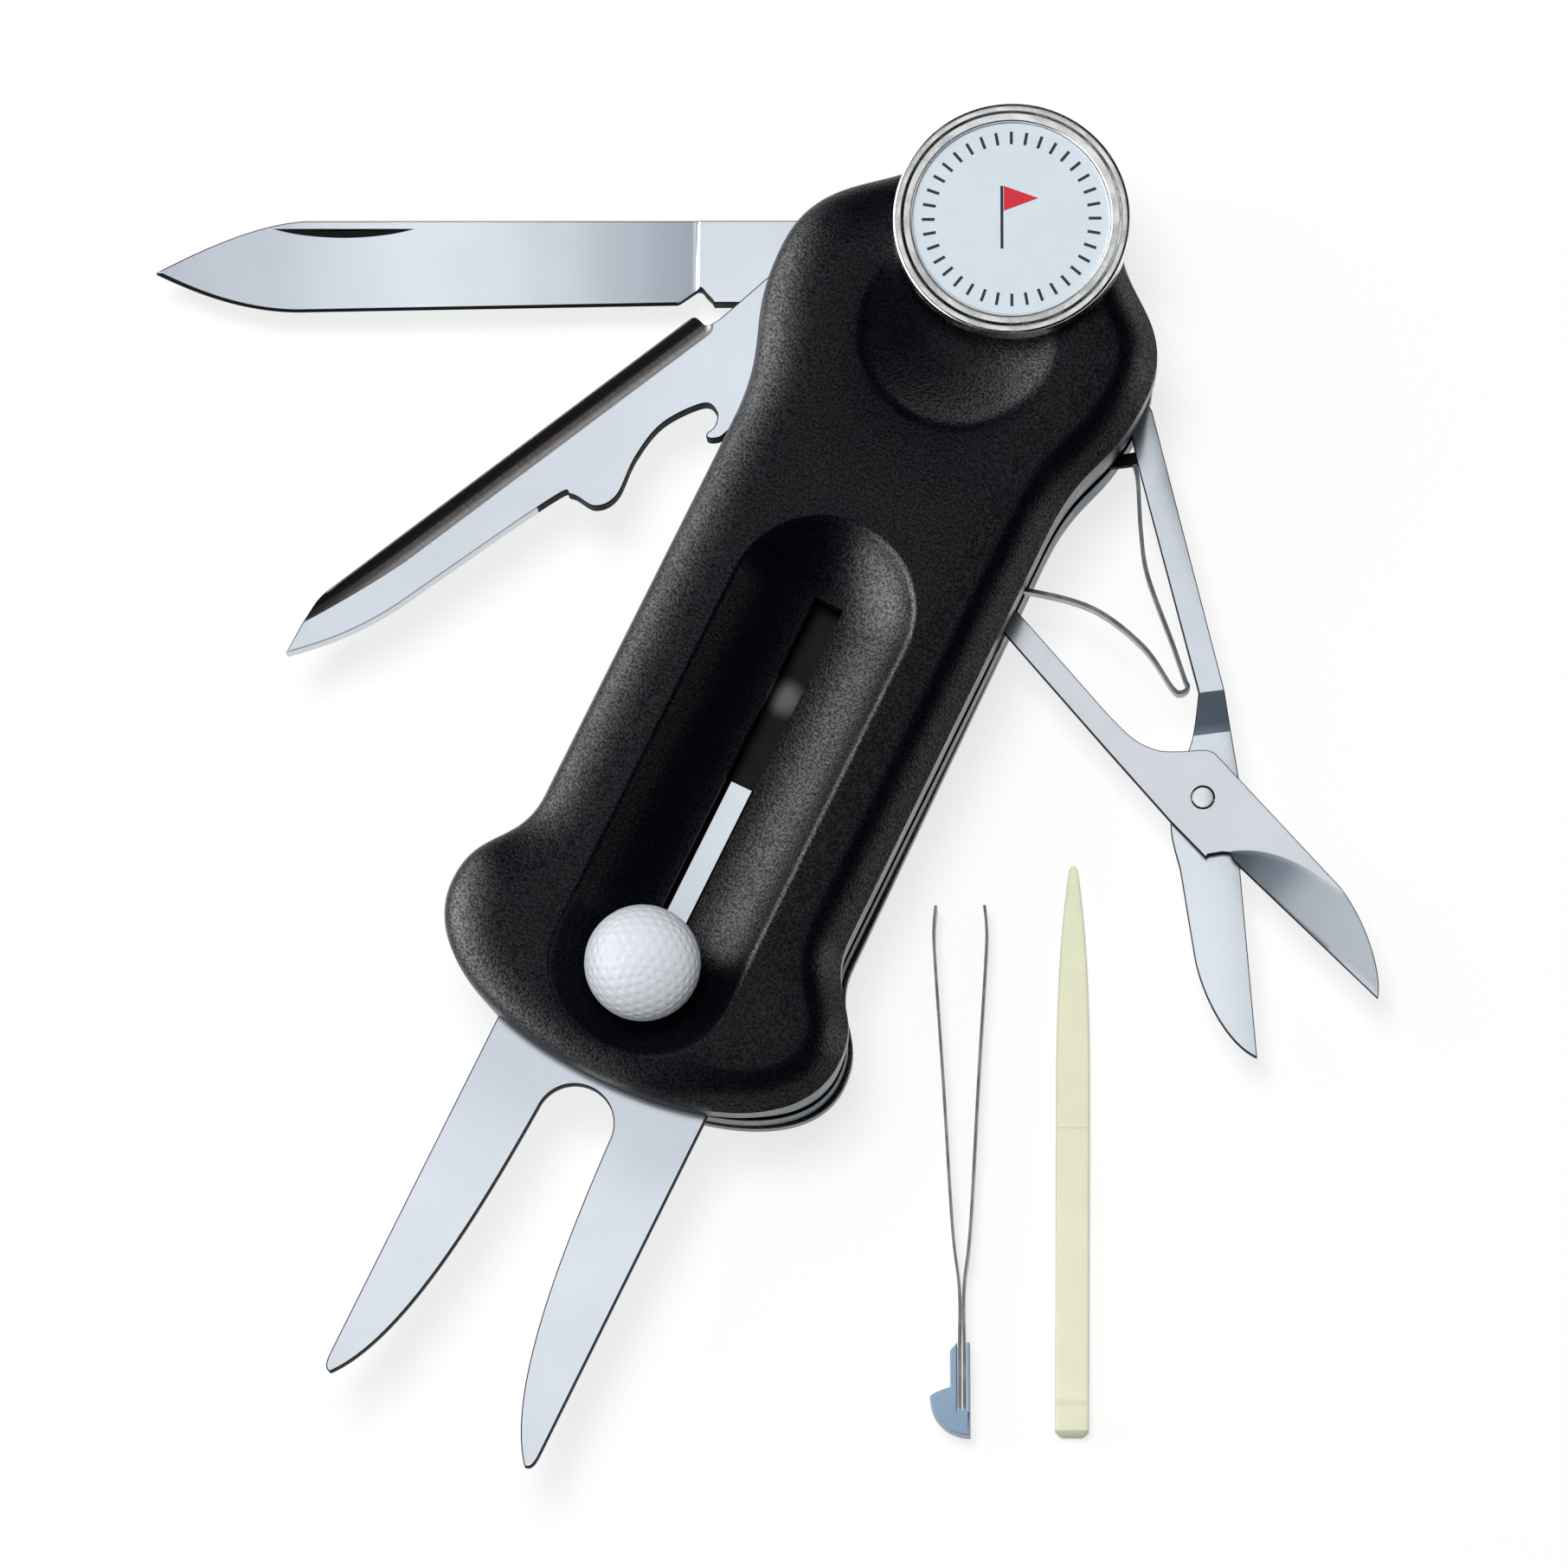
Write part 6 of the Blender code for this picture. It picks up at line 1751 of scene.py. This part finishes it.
def picture_axes():
    """The picture's right and up directions on the floor."""
    turn = math.radians(VIEW_TURN)
    return Vector((math.cos(turn), math.sin(turn), 0.0)), Vector((-math.sin(turn), math.cos(turn), 0.0))


def view_axes():
    """The camera's right, up and backward directions."""
    east, north = picture_axes()
    back = east * math.sin(math.radians(VIEW_SWING)) - north * math.sin(math.radians(VIEW_LEAN))
    back.z = math.sqrt(1.0 - back.length_squared)
    right = north.cross(back).normalized()
    return right, back.cross(right), back


def add_camera():
    """A long lens that looks down on the tool."""
    right, up, back = view_axes()
    data = bpy.data.cameras.new("studio_camera")
    data.lens = LENS
    data.sensor_width = SENSOR
    data.clip_start = 0.01
    data.clip_end = 20.0
    camera = bpy.data.objects.new("studio_camera", data)
    distance = FRAME * LENS / SENSOR / PIXELS_PER_MM
    where = (Vector(VIEW_TARGET) + back * distance) * MM
    turn = Matrix((right, up, back)).transposed().to_4x4()
    camera.matrix_world = Matrix.Translation(where) @ turn
    bpy.context.scene.collection.objects.link(camera)
    bpy.context.scene.camera = camera


def add_lamp(name, side, along, height, size, energy, mirrored_in_metal):
    """A soft square lamp aimed at the tool, placed by the picture's right and up directions, in metres."""
    east, north = picture_axes()
    aim = Vector(LAMP_AIM) * MM
    data = bpy.data.lights.new(name, "AREA")
    data.shape = "SQUARE"
    data.size = size
    data.energy = energy
    lamp = bpy.data.objects.new(name, data)
    lamp.visible_glossy = mirrored_in_metal
    lamp.location = aim + east * side + north * along + Vector((0.0, 0.0, height))
    lamp.rotation_euler = (lamp.location - aim).to_track_quat("Z", "Y").to_euler()
    bpy.context.scene.collection.objects.link(lamp)


def sky(right, up):
    """A direction that leans from straight overhead to the picture's right and top, by angles in degrees."""
    east, north = picture_axes()
    x, y = math.sin(math.radians(right)), math.sin(math.radians(up))
    return tuple(east * x + north * y + Vector((0.0, 0.0, math.sqrt(max(1.0 - x * x - y * y, 0.0)))))


def add_world():
    """A white surround: even for matt surfaces; for gloss, a panel overhead, a wide screen and a thin one."""
    world = bpy.data.worlds.new("studio_surround")
    world.use_nodes = True
    world.cycles.sampling_method = "NONE"
    tree = world.node_tree
    around = node(tree, "ShaderNodeTexCoord").outputs["Generated"]
    shine = 0.0
    for direction, fade, levels in GLOSS:
        values = {0: around, 1: sky(*direction)}
        facing = node(tree, "ShaderNodeVectorMath", {"operation": "DOT_PRODUCT"}, values).outputs["Value"]
        shine = math_node(tree, "MAXIMUM", shine, spread(tree, facing, *fade, *levels))
    path = node(tree, "ShaderNodeLightPath").outputs
    matt = path["Is Diffuse Ray"]
    gloss = math_node(tree, "MULTIPLY", shine, math_node(tree, "SUBTRACT", 1.0, matt))
    direct = math_node(tree, "MAXIMUM", path["Is Camera Ray"], path["Is Transmission Ray"])
    level = math_node(tree, "MAXIMUM", gloss, math_node(tree, "MULTIPLY", matt, MATT_LEVEL))
    strength = math_node(tree, "MAXIMUM", level, direct)
    feed(tree, tree.nodes["Background"], {"Color": (1.0, 1.0, 1.0, 1.0), "Strength": strength})
    bpy.context.scene.world = world


def add_floor():
    """A white sheet under the tool that keeps its soft shadow and is clear from below."""
    mesh = bpy.data.meshes.new("studio_floor")
    work = bmesh.new()
    level = Matrix.Translation((0.0, 0.0, FLOOR_LEVEL))
    bmesh.ops.create_grid(work, x_segments=2, y_segments=2, size=FLOOR_HALF, matrix=level)
    work.to_mesh(mesh)
    work.free()
    floor = as_object("studio_floor", mesh)
    sheet = bpy.data.materials.new("studio_paper")
    sheet.use_nodes = True
    tree = sheet.node_tree
    path = node(tree, "ShaderNodeLightPath").outputs
    seen = math_node(tree, "MAXIMUM", path["Is Camera Ray"], path["Is Glossy Ray"])
    shader = feed(tree, tree.nodes["Principled BSDF"], {
        "Roughness": 0.9,
        "Specular IOR Level": 0.0,
        "Base Color": (FLOOR_GREY, FLOOR_GREY, FLOOR_GREY, 1.0),
        "Emission Color": (1.0, 1.0, 1.0, 1.0),
        "Emission Strength": spread(tree, seen, 0.0, 1.0, *FLOOR_GLOW, "LINEAR"),
    })
    under = node(tree, "ShaderNodeNewGeometry").outputs["Backfacing"]
    clear = node(tree, "ShaderNodeBsdfTransparent").outputs[0]
    sides = node(tree, "ShaderNodeMixShader", values={0: under, 1: shader.outputs[0], 2: clear})
    feed(tree, tree.nodes["Material Output"], {"Surface": sides.outputs[0]})
    mesh.materials.append(sheet)


class GOLFTOOL_OT_stage(bpy.types.Operator):
    """Set up the camera, the lamps, the surround and the floor"""

    bl_idname = "golftool.stage"
    bl_label = "Studio"

    def execute(self, context):
        add_camera()
        for name, setting in LAMPS.items():
            add_lamp(name, *setting)
        add_world()
        add_floor()
        context.scene.view_settings.view_transform = "Standard"
        return {"FINISHED"}


OPERATORS = (
    GOLFTOOL_OT_scales,
    GOLFTOOL_OT_plates,
    GOLFTOOL_OT_fittings,
    GOLFTOOL_OT_fork,
    GOLFTOOL_OT_blade,
    GOLFTOOL_OT_opener,
    GOLFTOOL_OT_scissors,
    GOLFTOOL_OT_marker,
    GOLFTOOL_OT_tweezers,
    GOLFTOOL_OT_toothpick,
    GOLFTOOL_OT_stage,
)


class GOLFTOOL_PT_panel(bpy.types.Panel):
    """Lists the tool's pieces, sizes and colours"""

    bl_label = "Golf pocket tool"
    bl_idname = "GOLFTOOL_PT_panel"
    bl_space_type = "VIEW_3D"
    bl_region_type = "UI"
    bl_category = "Golf tool"

    def draw(self, context):
        column = self.layout.column()
        for operator in OPERATORS:
            column.operator(operator.bl_idname)
        for group in (context.scene.golf_tool_sizes, context.scene.golf_tool_colours):
            for name in group.__annotations__:
                column.prop(group, name)


CLASSES = (ToolSizes, ToolColours) + OPERATORS + (GOLFTOOL_PT_panel,)


def register():
    """Registers the add-on."""
    for item in CLASSES:
        bpy.utils.register_class(item)
    bpy.types.Scene.golf_tool_sizes = bpy.props.PointerProperty(type=ToolSizes)
    bpy.types.Scene.golf_tool_colours = bpy.props.PointerProperty(type=ToolColours)


def unregister():
    """Takes the add-on out again."""
    del bpy.types.Scene.golf_tool_colours
    del bpy.types.Scene.golf_tool_sizes
    for item in reversed(CLASSES):
        bpy.utils.unregister_class(item)


def main():
    """Builds every piece and the studio."""
    register()
    for operator in OPERATORS:
        group, name = operator.bl_idname.split(".")
        getattr(getattr(bpy.ops, group), name)()


if __name__ == "__main__":
    main()
